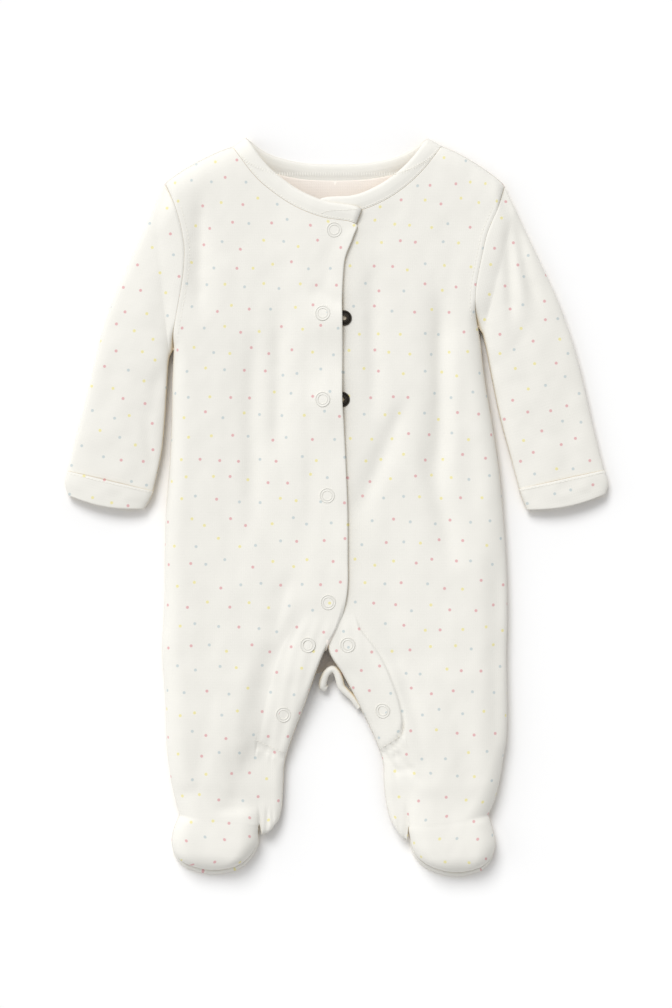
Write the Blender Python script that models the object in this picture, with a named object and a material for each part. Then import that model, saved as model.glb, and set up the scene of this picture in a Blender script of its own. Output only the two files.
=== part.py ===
"""Footed baby sleepsuit, laid flat on its back, in metres with +Z up.

X runs to the wearer's left, +Y towards the neck and Z up from the surface that the back panel rests on.
Each cut piece of cloth is one closed wall. Its outer surface comes from a table with a row for each section,
and its inner surface lies one cloth thickness further in. Lengths in the tables are millimetres.
"""

import math
from collections import namedtuple

import bmesh
import bpy
from mathutils import Vector
from mathutils.bvhtree import BVHTree

MM = 0.001
CENTRE_X, CENTRE_Y = 0.65, -0.35  # centre of the whole garment's outline in the tables' frame

# Driving sizes, in millimetres
CLOTH = 1.3  # thickness of the interlock cotton wall
BINDING_CLOTH = 1.6  # folded neck binding
CUFF_CLOTH = 1.7  # turned and stitched cuff
SEAM = 0.3  # clear distance between two pieces at a seam
SOLE_SEAM = 0.6  # the same where the sole's seam runs steeply up the foot
NECK_SEAM = 0.5  # the same round the neck, where the binding folds over at the shoulders
SHOULDER_HEIGHT = 5.0  # height of the shoulder seam above the surface
SHOULDER_BOW = 2.2  # how far the shoulder seam bows up from a straight line
SHOULDER_ROUND = 14.0  # how far in from the shoulder seam the front reaches its full loft
LAP_LIFT = 2.0  # how much higher the wearer's right front lies where it laps over the left
LAP_START = -26.0  # x where the right front starts to rise over the left
LAP_RISE = 9.0  # width of that rise
BINDING_WIDTH = 10.2
BINDING_SHARES = ((0.0, 0.0), (0.4, 0.5), (0.8, 0.5), (1.0, 0.2))  # place across it and how far it swells
BINDING_LOW, BINDING_RISE = 4.0, 6.0  # height below which it lies flat, and the rise to its full swell
NECK_CENTRE = Vector((0.0, 250.0, 0.0))  # a point inside the neck opening
TOE_ROUND = 17.0  # how far in from the toe seam the vamp reaches its full loft
EDGE_BLEND = 32.0  # over how much of a front the loft changes towards its inner edge
BAND_STEP = 0.7  # how far the stitched leg placket stands above the cloth beside it
BAND_WIDTH = 17.6
BAND_TOP, BAND_BOTTOM = -70.0, -158.0  # y where the placket begins and ends
BAND_TOP_FADE, BAND_BOTTOM_FADE = 14.0, 6.0
VAMP_ROUND = 20.0  # how far in from its two sides the vamp reaches its full loft
VAMP_ROUND_SHARE = 0.42  # the same as a share of the vamp's width, where that is less
SOLE_SIDE = 0.3  # how far the sole bulges past its seam at the side of the foot
SOLE_TOE = 3.4  # and at the toe
SOLE_DROP = 0.55  # share of the seam's height at which the sole bulges most
SOLE_TUCK = 1.5  # how far inside its seam the sole meets the surface
HEEL_DROP, HEEL_IN, HEEL_TUCK = 0.4, 1.2, 3.0  # the same at the back of the heel
SOLE_INNER = 0.45  # place of the sole's inner ring, from its edge to its centre
SNAP_RING = 10.5  # outer diameter of a snap's ring cap
SNAP_BORE = 6.4
SNAP_HEIGHT = 1.1
SOCKET_BOSS = 5.6  # outer diameter of the raised boss of an open snap
SOCKET_HEIGHT = 1.8

# Columns across a front: the share of the side rounding, then even steps, then shares of the fold distance
SIDE_SHARES = (0.0, 0.076, 0.293, 0.617, 1.0)
MIDDLE_STEPS = 4
FOLD_SHARES = (0.82, 0.785, 0.42, 0.14, 0.0)
FOOT_SHARES = (0.0, 0.025, 0.1, 0.22, 0.38, 0.6, 0.79, 0.93, 1.0)
BACK_STEPS = 3
BACK_EDGE_SHARE = 0.35  # where the extra column inside the back's rounded edge lies
SHOULDER_ROWS = 1.2  # rows over which the back comes down from the shoulder seam

# A front's section: the side point with its height and rounding, the inner edge with its height and rounding,
# and how far in from that edge the lengthwise fold lies.
Section = namedtuple(
    "Section",
    "side_x side_y side_z side_round edge_x edge_y edge_z edge_round fold",
)

RIGHT_FRONT = [
    Section(-115.0, 218.6, 5.0, 8, -69.5, 243.4, 15.0, 0, 14),  # shoulder seam
    Section(-108.0, 203.0, 8.0, 8, -55.5, 224.5, 15.0, 0, 16),
    Section(-104.0, 189.0, 9.5, 8, -42.0, 212.3, 15.0, 0, 18),
    Section(-101.8, 176.0, 10.5, 8, -26.0, 202.0, 15.0, 0, 20),
    Section(-102.0, 163.0, 11.0, 8, -8.5, 195.2, 15.0, 0, 20),
    Section(-103.2, 152.0, 11.0, 8, 11.0, 191.3, 15.0, 0, 20),  # neckline corner
    Section(-105.3, 140.0, 10.5, 8, 10.4, 182.0, 15.0, 0, 20),
    Section(-107.5, 128.0, 9.5, 8, 8.0, 168.0, 15.0, 0, 20),
    Section(-109.4, 117.0, 8.0, 8, 5.2, 154.0, 15.0, 0, 20),
    Section(-109.4, 107.0, 6.2, 9, 3.6, 140.0, 15.0, 0, 20),  # underarm
    Section(-109.9, 97.0, 6.0, 12, 3.7, 127.5, 15.0, 0, 20),
    Section(-110.4, 82.0, 6.0, 12, 3.9, 108.0, 15.0, 0, 20),
    Section(-110.6, 67.0, 6.0, 12, 3.8, 90.0, 15.0, 0, 20),
    Section(-110.9, 53.0, 6.0, 12, 3.7, 72.7, 15.0, 0, 20),
    Section(-111.6, 38.0, 6.0, 12, 4.8, 54.0, 15.0, 0, 20),
    Section(-112.8, 19.0, 6.0, 12, 6.1, 28.0, 15.0, 0, 20),
    Section(-114.7, -4.0, 6.0, 12, 7.2, 0.0, 15.0, 0, 20),
    Section(-115.4, -32.0, 6.0, 12, 7.4, -32.0, 15.5, 0, 21),
    Section(-115.4, -56.0, 6.5, 13, 7.0, -57.0, 16.0, 0, 22),
    Section(-116.3, -78.0, 6.5, 13, 1.8, -79.5, 16.0, 0, 22),
    Section(-117.2, -96.0, 7.0, 13, -6.9, -96.0, 14.5, 0, 22),  # crotch
    Section(-116.2, -113.0, 7.0, 14, -13.5, -113.0, 9.0, 3, 22),
    Section(-114.8, -134.0, 7.0, 14, -21.0, -134.0, 6.5, 5, 22),
    Section(-114.4, -156.0, 7.0, 14, -29.4, -156.0, 5.8, 6, 22),
    Section(-112.9, -172.0, 7.0, 14, -34.2, -172.0, 5.6, 6, 22),
    Section(-111.0, -185.0, 7.0, 15, -35.3, -187.0, 5.6, 6, 22),
    Section(-108.3, -197.5, 6.5, 16, -36.3, -202.0, 5.4, 6, 22),
    Section(-105.5, -207.6, 6.2, 16, -38.9, -214.5, 5.0, 6, 22),  # ankle
]

LEFT_FRONT = [
    Section(114.0, 217.2, 5.0, 8, 71.5, 243.8, 15.0, 0, 14),
    Section(109.3, 202.0, 8.0, 8, 60.5, 229.0, 15.0, 0, 16),
    Section(105.6, 193.5, 9.5, 8, 48.0, 216.8, 15.0, 0, 18),
    Section(101.8, 184.0, 10.5, 8, 32.5, 206.5, 15.0, 0, 20),
    Section(99.0, 172.0, 11.0, 8, 14.5, 199.5, 15.0, 0, 20),
    Section(96.8, 161.5, 11.0, 8, -8.5, 196.8, 15.0, 0, 20),
    Section(95.0, 152.0, 10.5, 8, -9.5, 184.0, 15.0, 0, 20),
    Section(94.0, 142.0, 9.5, 8, -10.2, 169.0, 15.0, 0, 20),
    Section(94.3, 132.5, 8.0, 8, -11.0, 154.0, 15.0, 0, 20),
    Section(96.2, 122.0, 6.2, 9, -11.0, 140.0, 15.0, 0, 20),
    Section(98.2, 111.0, 6.0, 12, -11.0, 127.5, 15.0, 0, 20),
    Section(99.8, 96.0, 6.0, 12, -11.0, 108.0, 15.0, 0, 20),
    Section(101.9, 81.0, 6.0, 12, -11.0, 90.0, 15.0, 0, 20),
    Section(104.5, 66.0, 6.0, 12, -11.0, 72.7, 15.0, 0, 20),
    Section(107.4, 48.0, 6.0, 13, -10.6, 54.0, 15.0, 0, 20),
    Section(110.8, 24.0, 6.0, 13, -10.0, 28.0, 15.0, 0, 20),
    Section(113.0, 0.0, 6.0, 14, -9.0, 0.0, 15.0, 0, 20),
    Section(115.0, -30.0, 6.0, 15, -8.5, -32.0, 15.5, 0, 21),
    Section(115.8, -56.0, 6.5, 17, -8.0, -57.0, 16.0, 0, 22),
    Section(115.9, -78.0, 6.5, 19, -6.5, -79.5, 16.0, 0, 22),
    Section(115.4, -96.0, 7.0, 21, -4.4, -97.2, 14.5, 0, 22),
    Section(115.5, -112.0, 7.0, 22, 4.2, -112.0, 9.0, 3, 22),
    Section(115.8, -132.0, 7.0, 22, 15.3, -132.5, 6.5, 5, 22),
    Section(115.5, -154.0, 7.0, 22, 26.0, -154.5, 5.8, 6, 21),
    Section(113.0, -171.0, 7.0, 21, 31.9, -171.0, 5.6, 6, 19),
    Section(110.8, -184.0, 7.0, 20, 32.7, -186.0, 5.6, 6, 16),
    Section(107.5, -197.0, 6.5, 18, 34.6, -201.5, 5.4, 5, 13),
    Section(103.3, -207.6, 6.2, 17, 38.5, -215.5, 5.0, 4, 11),
]

# A vamp's section: its outer side, its inner side, and the height of the sole seam at each
FootSection = namedtuple("FootSection", "side_x side_y side_z edge_x edge_y edge_z")

RIGHT_FOOT = [
    FootSection(-107.6, -212.5, 6.6, -56.8, -213.6, 9.6),
    FootSection(-109.6, -218.0, 7.0, -53.8, -218.0, 7.9),
    FootSection(-110.7, -225.0, 7.0, -53.0, -225.5, 7.4),
    FootSection(-109.2, -232.0, 7.0, -56.5, -233.5, 7.0),
    FootSection(-106.0, -237.0, 7.0, -62.0, -239.2, 7.0),
    FootSection(-101.0, -240.6, 7.0, -68.0, -242.6, 7.0),
]

LEFT_FOOT = [
    FootSection(104.8, -212.5, 6.6, 49.2, -218.0, 9.6),
    FootSection(106.5, -218.5, 7.0, 50.2, -223.5, 7.9),
    FootSection(107.9, -226.0, 7.0, 51.8, -229.8, 7.4),
    FootSection(106.6, -232.5, 7.0, 55.2, -235.6, 7.0),
    FootSection(103.3, -238.6, 7.0, 60.5, -240.2, 7.0),
    FootSection(98.0, -243.0, 7.0, 67.0, -243.4, 7.0),
]

RIGHT_HEEL_BOW = 1.5  # how far the cloth beside the heel hangs past the ankle row
LEFT_HEEL_BOW = 8.0
NOTCH_HEIGHT = 12.0  # height of the cloth where the vamp leaves the ankle
TOE_BOW = 3.2  # how far the toe seam bows out past its two ends

# How high the cloth lofts along the body, in the middle of a front and beside its inner edge
Loft = namedtuple("Loft", "y middle edge")
LOFTS = [
    Loft(260.0, 13.0, 13.0),
    Loft(200.0, 14.0, 14.0),
    Loft(140.0, 15.0, 15.0),
    Loft(0.0, 15.0, 15.0),
    Loft(-57.0, 16.0, 16.0),
    Loft(-96.0, 17.0, 14.5),
    Loft(-120.0, 18.0, 12.5),
    Loft(-150.0, 18.5, 11.5),
    Loft(-185.0, 17.5, 11.0),
    Loft(-200.0, 17.0, 9.5),
    Loft(-213.0, 18.5, 6.5),
    Loft(-228.0, 21.0, 7.0),
    Loft(-250.0, 21.0, 7.0),
]

# Soft lengthwise and slanting folds, each a trough between two points
Fold = namedtuple("Fold", "x0 y0 x1 y1 half_width depth")
FOLDS = [
    Fold(-91, 199, -91, 140, 8, 1.6),
    Fold(-55, 106, -56, 5, 8, 1.4),
    Fold(-38, 123, -39, 45, 7, 1.2),
    Fold(-45, -52, -50, -100, 7, 2.6),
    Fold(-50, -96, -55, -150, 7, 3.6),
    Fold(-55, -145, -66, -198, 7, 3.0),
    Fold(25, 151, 26, 72, 8, 1.4),
    Fold(71, 135, 70, 32, 8, 2.6),
    Fold(18, 4, 44, 64, 8, 1.6),
    Fold(66, 36, 76, -28, 8, 1.6),
    Fold(74, -62, 80, -130, 9, 1.6),
    Fold(62, -90, 66, -190, 8, 1.4),
]

# The seam line of the back neckline, and the inner line of each half of the back panel
Point = namedtuple("Point", "x y")
RIGHT_BACK_INNER = [
    Point(-69.5, 243.4),
    Point(-56.0, 233.0),
    Point(-42.0, 226.6),
    Point(-22.0, 222.4),
    Point(0.0, 221.4),
]
LEFT_BACK_INNER = [
    Point(71.5, 243.8),
    Point(58.0, 233.6),
    Point(43.0, 226.6),
    Point(22.0, 222.4),
    Point(0.0, 221.4),
]
BACK_CENTRE_TOP = 221.4
CROTCH = Point(-2.0, -109.0)  # where the back panel parts into two legs
CROTCH_ROW = 20
NECK_ROWS = 4
UNDERARM_ROW = 9
UNDERARM_ROWS = 2.0  # rows over which the back's armhole rises to the underarm
CORNER_ROW = 5
BACK_LEG_INSET = 1.6  # the back placket's edge lies this far inside the front's
BACK_EDGE_HEIGHT = 2.4
BACK_EDGE_ROUND = 9.0

# A sleeve's section: its outer and inner points, and its height
Ring = namedtuple("Ring", "outer_x outer_y inner_x inner_y height")
RIGHT_SLEEVE = [
    Ring(-122.5, 202.5, -112.2, 102.0, 13.0),
    Ring(-131.0, 184.0, -113.0, 97.0, 13.5),
    Ring(-140.0, 163.5, -113.4, 91.0, 13.5),
    Ring(-149.0, 143.0, -113.8, 84.0, 13.0),
    Ring(-156.5, 122.0, -114.3, 76.0, 12.5),
    Ring(-161.8, 101.0, -114.9, 66.0, 12.0),
    Ring(-166.5, 81.0, -115.8, 54.0, 11.5),
    Ring(-171.5, 61.0, -117.0, 41.0, 11.0),
    Ring(-176.5, 43.0, -119.4, 28.0, 10.5),
    Ring(-180.4, 25.2, -123.2, 11.6, 10.0),
]
LEFT_SLEEVE = [
    Ring(121.0, 202.5, 99.4, 117.0, 13.0),
    Ring(128.8, 185.5, 101.0, 110.5, 13.5),
    Ring(138.8, 164.5, 102.6, 103.0, 13.5),
    Ring(148.8, 143.0, 104.2, 94.5, 13.0),
    Ring(157.0, 121.0, 106.0, 85.0, 12.5),
    Ring(163.4, 100.0, 108.2, 74.0, 12.0),
    Ring(168.6, 79.0, 110.9, 61.5, 11.5),
    Ring(173.0, 59.0, 114.4, 48.0, 11.0),
    Ring(177.6, 40.0, 118.6, 33.0, 10.5),
    Ring(181.2, 26.0, 124.0, 12.9, 10.0),
]
RIGHT_CUFF = [
    Ring(-181.4, 24.8, -122.9, 11.0, 11.2),
    Ring(-182.9, 16.5, -125.8, 4.8, 11.0),
    Ring(-181.2, 9.0, -129.0, -0.4, 10.4),
]
LEFT_CUFF = [
    Ring(181.9, 25.4, 123.7, 12.5, 11.2),
    Ring(184.2, 17.0, 126.4, 5.6, 11.0),
    Ring(183.0, 10.0, 129.0, -1.0, 10.4),
]
CUFF_BOW = 3.0  # how far the cuff's end bows out past its corners
SLEEVE_EDGE = 4.6  # height of a sleeve's two side folds
RING_STEPS = 20
RING_FULLNESS = 0.62  # below 1 makes a flattened ring squarer than an ellipse

# The gathered edge of the back crotch
GATHER_LINE = [
    Point(-24.0, -130.0),
    Point(-14.0, -116.0),
    Point(-2.0, -110.5),
    Point(9.0, -116.5),
    Point(20.0, -131.0),
]
GATHER_WIDTH = 8.0
GATHER_WAVES = 3.5
GATHER_SWING = 1.7
GATHER_HEIGHT = 5.2
GATHER_CLOTH = 1.1
GATHER_STEPS = 36
GATHER_FADE = 0.2  # share of the strip over which its waves grow from each end
GATHER_ROOT = 0.3  # width and wave left at the strip's root, as a share
GATHER_FLARE = 0.12  # how much the width swings with the waves
GATHER_SLIP = 0.6  # sideways swing, as a share of the rise and fall

# Ring caps of the snaps, and the two open snaps on the left front
SNAPS = {
    "snap_front_1": Point(-1.0, 186.8),
    "snap_front_2": Point(-8.7, 130.6),
    "snap_front_3": Point(-8.7, 72.7),
    "snap_front_4": Point(-5.7, 8.1),
    "snap_front_5": Point(-5.0, -63.6),
    "snap_leg_right_1": Point(-18.7, -92.3),
    "snap_leg_right_2": Point(-35.2, -139.4),
    "snap_leg_left_1": Point(8.1, -92.3),
    "snap_leg_left_2": Point(31.7, -136.6),
}
SOCKETS = {
    "snap_socket_1": Point(5.7, 127.5),
    "snap_socket_2": Point(4.4, 72.7),
}
SOCKET_LIFT = 2.6  # how much an open snap holds the lapping edge up
SOCKET_LIFT_REACH = 17.0
SOCKET_LIFT_START, SOCKET_LIFT_RISE = -20.0, 16.0  # x where that lift starts, and the width of its rise
SNAP_SIDES = 18

# Colours, linear
CREAM = (0.86, 0.84, 0.78, 1.0)
CAP_WHITE = (0.83, 0.82, 0.79, 1.0)
GUNMETAL = (0.045, 0.042, 0.038, 1.0)


def smooth(t):
    """Ease from 0 to 1 as t runs from 0 to 1."""
    t = min(max(t, 0.0), 1.0)
    return t * t * (3.0 - 2.0 * t)


def quarter_round(distance, reach):
    """Height share of a rounded edge: 0 at the edge, upright there, and 1 from reach inwards."""
    if reach <= 0.01:
        return 1.0
    t = min(max(distance / reach, 0.0), 1.0)
    return math.sqrt(1.0 - (1.0 - t) ** 2)


def spline(rows, v):
    """The row at the place v of a table, smooth through the table's rows."""
    i = min(max(int(math.floor(v)), 0), len(rows) - 2)
    t = v - i
    before, a, b, after = (
        rows[max(i - 1, 0)],
        rows[i],
        rows[i + 1],
        rows[min(i + 2, len(rows) - 1)],
    )

    def one(p, q, r, s):
        return q + 0.5 * t * (
            r - p + t * (2 * p - 5 * q + 4 * r - s + t * (3 * (q - r) + s - p))
        )

    return type(a)(*(one(*values) for values in zip(before, a, b, after)))


def steps_between(first, last, per_row):
    """Places from one table row to another, the first one left out."""
    count = (last - first) * per_row
    return [first + (i + 1) / per_row for i in range(count)]


def loft_at(y):
    """Middle and edge loft at y."""
    for a, b in zip(LOFTS, LOFTS[1:]):
        if y >= b.y:
            t = smooth((a.y - y) / (a.y - b.y))
            return a.middle + (b.middle - a.middle) * t, a.edge + (b.edge - a.edge) * t
    return LOFTS[-1].middle, LOFTS[-1].edge


def folds_at(x, y):
    """How far the folds press the cloth down at a place."""
    drop = 0.0
    for fold in FOLDS:
        run = Vector((fold.x1 - fold.x0, fold.y1 - fold.y0))
        to_point = Vector((x - fold.x0, y - fold.y0))
        along = to_point.dot(run) / run.length_squared
        if -0.3 < along < 1.3:
            across = (to_point - run * along).length / fold.half_width
            ends = smooth((along + 0.3) / 0.5) * smooth((1.3 - along) / 0.5)
            drop += fold.depth * ends * math.exp(-across * across)
    return drop


def shoulder_distance(x, y, table):
    """Distance from the shoulder seam into the body."""
    tip = Vector((table[0].side_x, table[0].side_y))
    neck = Vector((table[0].edge_x, table[0].edge_y))
    run = (neck - tip).normalized()
    offset = Vector((x, y)) - tip
    return abs(offset.x * run.y - offset.y * run.x)


def shoulder_bow(side, edge, share, v):
    """How far a point of the rows by the shoulder moves, for the bow of the shoulder seam."""
    run = (edge - side).normalized()
    up = Vector((-run.y, run.x))
    if up.y < 0:
        up.negate()
    amount = SHOULDER_BOW * (1.0 - smooth(v / 1.5))
    return up * amount * math.sin(math.pi * math.sqrt(share))


def lap_at(x, y):
    """How far the wearer's right front lies above the height that both fronts share."""
    lap = LAP_LIFT * smooth((x - LAP_START) / LAP_RISE)
    for place in SOCKETS.values():
        reach = (y - place.y) / SOCKET_LIFT_REACH
        share = smooth((x - SOCKET_LIFT_START) / SOCKET_LIFT_RISE)
        lap += SOCKET_LIFT * math.exp(-reach * reach) * share
    return lap


class Surface:
    """Outer surface of one piece: points, faces, and the directions its seams open in."""

    def __init__(self):
        self.points = []
        self.faces = []
        self.square = {}
        self._found = {}

    def add(self, point):
        """Index of a point, shared where two halves of a piece meet."""
        key = tuple(round(c, 4) for c in point)
        if key not in self._found:
            self._found[key] = len(self.points)
            self.points.append(Vector(point))
        return self._found[key]

    def face(self, corners):
        """Add a face, without the corners that fall together."""
        kept = list(dict.fromkeys(corners))
        if len(kept) > 2:
            self.faces.append(kept)

    def grid(self, rows, flip=False, closed=False):
        """Add rows of points as a sheet, each row joined to the next over the columns that both have."""
        indices = [[self.add(p) for p in row] for row in rows]
        for a, b in zip(indices, indices[1:]):
            width = min(len(a), len(b))
            for j in range(width if closed else width - 1):
                k = (j + 1) % width
                corners = [a[j], b[j], b[k], a[k]]
                self.face(corners[::-1] if flip else corners)
        return indices

    def square_to(self, indices, axis):
        """Keep the wall's thickness at these points square to the way their seam opens."""
        for index in indices:
            self.square.setdefault(index, []).append(Vector(axis).normalized())

    def tree(self):
        """Search tree over the outer surface."""
        return BVHTree.FromPolygons(self.points, self.faces)


def wall(name, surface, thickness, material):
    """One closed solid: the outer surface, an inner one a thickness further in, and the rims."""
    mesh = bmesh.new()
    origin = Vector((CENTRE_X, CENTRE_Y, 0.0))
    outer = [mesh.verts.new((p - origin) * MM) for p in surface.points]
    faces = [mesh.faces.new([outer[i] for i in face]) for face in surface.faces]
    mesh.normal_update()
    inner = []
    for index, vertex in enumerate(outer):
        normal = vertex.normal.copy()
        for axis in surface.square.get(index, []):
            normal -= axis * normal.dot(axis)
        inner.append(
            mesh.verts.new(vertex.co - normal.normalized() * thickness * MM)
        )
    partner = dict(zip(outer, inner))
    rims = [edge for edge in mesh.edges if len(edge.link_faces) == 1]
    for face in faces:
        mesh.faces.new([partner[v] for v in reversed(face.verts)])
    for edge in rims:
        face = edge.link_faces[0]
        loop = next(lp for lp in face.loops if lp.edge == edge)
        a, b = loop.vert, loop.link_loop_next.vert
        mesh.faces.new([b, a, partner[a], partner[b]])
    bmesh.ops.triangulate(mesh, faces=mesh.faces[:])
    return finish_object(name, mesh, material)


def finish_object(name, mesh, material):
    """Turn a bmesh into a named object with its material."""
    data = bpy.data.meshes.new(name)
    mesh.to_mesh(data)
    mesh.free()
    data.shade_smooth()
    data.set_sharp_from_angle(angle=math.radians(50))
    data.materials.append(material)
    obj = bpy.data.objects.new(name, data)
    bpy.context.collection.objects.link(obj)
    return obj


def make_material(name, colour, roughness, metallic=0.0):
    """A Principled material."""
    material = bpy.data.materials.new(name)
    material.use_nodes = True
    shader = material.node_tree.nodes["Principled BSDF"]
    shader.inputs["Base Color"].default_value = colour
    shader.inputs["Roughness"].default_value = roughness
    shader.inputs["Metallic"].default_value = metallic
    return material


def heel_drop(table, v, from_edge, bow):
    """How far the ankle row hangs down beside the heel."""
    last = len(table) - 1
    fold = table[last].fold
    if v < last or from_edge >= fold:
        return 0.0
    return bow * math.sin(math.pi * from_edge / fold)


def front_row(table, v, lapping, bow):
    """One row of a front's outer surface, from its side to its inner edge."""
    row = spline(table, v)
    side = Vector((row.side_x, row.side_y))
    edge = Vector((row.edge_x, row.edge_y))
    length = (edge - side).length
    reach = length - row.fold
    first = row.side_round
    distances = [share * first for share in SIDE_SHARES]
    distances += [
        first + (reach - first) * (i + 1) / MIDDLE_STEPS for i in range(MIDDLE_STEPS)
    ]
    distances += [length - share * row.fold for share in FOLD_SHARES]
    edge_round = max(row.edge_round, 0.0)
    points = []
    for distance in distances:
        x, y = side.lerp(edge, distance / length)
        from_edge = length - distance
        middle, beside_edge = loft_at(y)
        loft = middle + (beside_edge - middle) * smooth(1.0 - from_edge / EDGE_BLEND)
        loft -= folds_at(x, y)
        shoulder = quarter_round(shoulder_distance(x, y, table), SHOULDER_ROUND)
        loft = SHOULDER_HEIGHT + (loft - SHOULDER_HEIGHT) * shoulder
        base = row.side_z + (row.edge_z - row.side_z) * distance / length
        rise = quarter_round(distance, row.side_round)
        rise *= quarter_round(from_edge, edge_round)
        z = base + (loft - base) * rise
        if BAND_BOTTOM < y < BAND_TOP and from_edge < BAND_WIDTH:
            from_bottom = (y - BAND_BOTTOM) / BAND_BOTTOM_FADE
            z += BAND_STEP * smooth(min(from_bottom, (BAND_TOP - y) / BAND_TOP_FADE))
        if lapping:
            z += lap_at(x, y)
        shift = shoulder_bow(side, edge, distance / length, v)
        x, y = x + shift.x, y + shift.y - heel_drop(table, v, from_edge, bow)
        points.append(Vector((x, y, z)))
    return points


def foot_row(table, foot, v):
    """One row of a vamp, from its outer side to its inner side; v is 0 at the ankle row of the front."""
    ankle = table[-1]
    side = Vector((ankle.side_x, ankle.side_y))
    edge = Vector((ankle.edge_x, ankle.edge_y))
    notch = edge.lerp(side, ankle.fold / (edge - side).length)
    rows = [FootSection(*side, ankle.side_z, *notch, NOTCH_HEIGHT)] + foot
    row, toe = spline(rows, v), rows[-1]
    bow = TOE_BOW * smooth(v / (len(rows) - 1)) ** 2
    points = []
    for share in FOOT_SHARES:
        def place(section, sag):
            x = section.side_x + (section.edge_x - section.side_x) * share
            y = section.side_y + (section.edge_y - section.side_y) * share
            return Vector((x, y - sag * math.sin(math.pi * share)))

        at = place(row, bow)
        width = abs(row.edge_x - row.side_x)
        reach = min(VAMP_ROUND, VAMP_ROUND_SHARE * width)
        rise = quarter_round(share * width, reach)
        rise *= quarter_round((1.0 - share) * width, reach)
        rise *= quarter_round((at - place(toe, TOE_BOW)).length, TOE_ROUND)
        base = row.side_z + (row.edge_z - row.side_z) * share
        loft = loft_at(at.y)[0] - folds_at(at.x, at.y)
        points.append(Vector((at.x, at.y, base + (loft - base) * rise)))
    return points


def front_surface(table, foot, lapping, outward, bow):
    """Front panel with its leg and vamp in one piece."""
    surface = Surface()
    ankle = len(table) - 1
    places = [0.0] + steps_between(0, CORNER_ROW + 1, 2)
    places += steps_between(CORNER_ROW + 1, ankle, 1)
    rows = [front_row(table, v, lapping, bow) for v in places]
    for v in steps_between(0, len(foot), 2):
        rows.append(foot_row(table, foot, v))
    for row in rows:
        row[0].z += SEAM / 2
    for point in rows[0][1:]:
        point.z += SEAM / 2
    for point in rows[-1][1:]:
        point.z += SEAM / 2
    ankle_row = len(places) - 1
    for row in rows[ankle_row + 1 : -1]:
        row[-1].z += SEAM / 2
    indices = surface.grid(rows, flip=outward > 0)
    up, across = (0, 0, 1), (outward, 0, 0)
    underarm = places.index(UNDERARM_ROW)
    surface.square_to(indices[0], up)
    surface.square_to([row[0] for row in indices[underarm:]], up)
    surface.square_to([row[0] for row in indices[1:underarm]], across)
    surface.square_to([row[-1] for row in indices[ankle_row + 1 :]], up)
    surface.square_to(indices[-1][1:-1], up)
    corner = places.index(CORNER_ROW)
    edges = {
        "armhole": [row[0] for row in rows[: underarm + 1]],
        "neckline": [row[-1] for row in rows[: corner + 1]],
        "vamp_outer": [row[0] for row in rows[ankle_row:]],
        "toe": rows[-1][1:-1],
        "vamp_inner": [row[-1] for row in rows[ankle_row + 1 :]],
        "places": places,
    }
    return surface, edges


def back_inner(table, inner, v, outward):
    """Inner end of one row of a back half, and its height there."""
    if v <= NECK_ROWS:
        point = spline(inner, v)
        height = SHOULDER_HEIGHT * (1.0 - quarter_round(v, SHOULDER_ROWS))
        return point.x, point.y, height
    if v <= CROTCH_ROW:
        t = (v - NECK_ROWS) / (CROTCH_ROW - NECK_ROWS)
        x = CROTCH.x * smooth(t)
        return x, BACK_CENTRE_TOP + (CROTCH.y - BACK_CENTRE_TOP) * t, 0.0
    row = spline(table, v)
    height = BACK_EDGE_HEIGHT * smooth((v - CROTCH_ROW - 1) / 2.0)
    return row.edge_x + outward * BACK_LEG_INSET, row.edge_y, height


def back_row(table, inner, v, outward):
    """One row of a back half's underside, from its side to its inner end."""
    row = spline(table, v)
    side = Vector((row.side_x, row.side_y))
    inner_x, inner_y, inner_z = back_inner(table, inner, v, outward)
    end = Vector((inner_x, inner_y))
    length = (end - side).length
    on_armhole = 0.0 < v < UNDERARM_ROW
    side_z = row.side_z
    if on_armhole:
        ends = min(v / SHOULDER_ROWS, (UNDERARM_ROW - v) / UNDERARM_ROWS)
        full = SHOULDER_HEIGHT if v < NECK_ROWS else table[UNDERARM_ROW].side_z
        side_z = full * (1.0 - quarter_round(ends, 1.0))
    distances = [share * row.side_round for share in SIDE_SHARES[:-1]]
    far = length - BACK_EDGE_ROUND
    first = row.side_round
    distances += [first + (far - first) * i / BACK_STEPS for i in range(BACK_STEPS + 1)]
    distances += [length - BACK_EDGE_ROUND * BACK_EDGE_SHARE, length]
    shoulder = quarter_round(v, SHOULDER_ROWS)
    points = []
    for distance in distances:
        x, y = side.lerp(end, distance / length)
        curl = side_z * (1.0 - quarter_round(distance, row.side_round))
        curl += inner_z * (1.0 - quarter_round(length - distance, BACK_EDGE_ROUND))
        curl = max(curl, SHOULDER_HEIGHT * (1.0 - shoulder))
        shift = shoulder_bow(side, end, distance / length, v)
        x, y = x + shift.x, y + shift.y
        points.append(Vector((x, y, max(curl, 0.0))))
    return points


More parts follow.
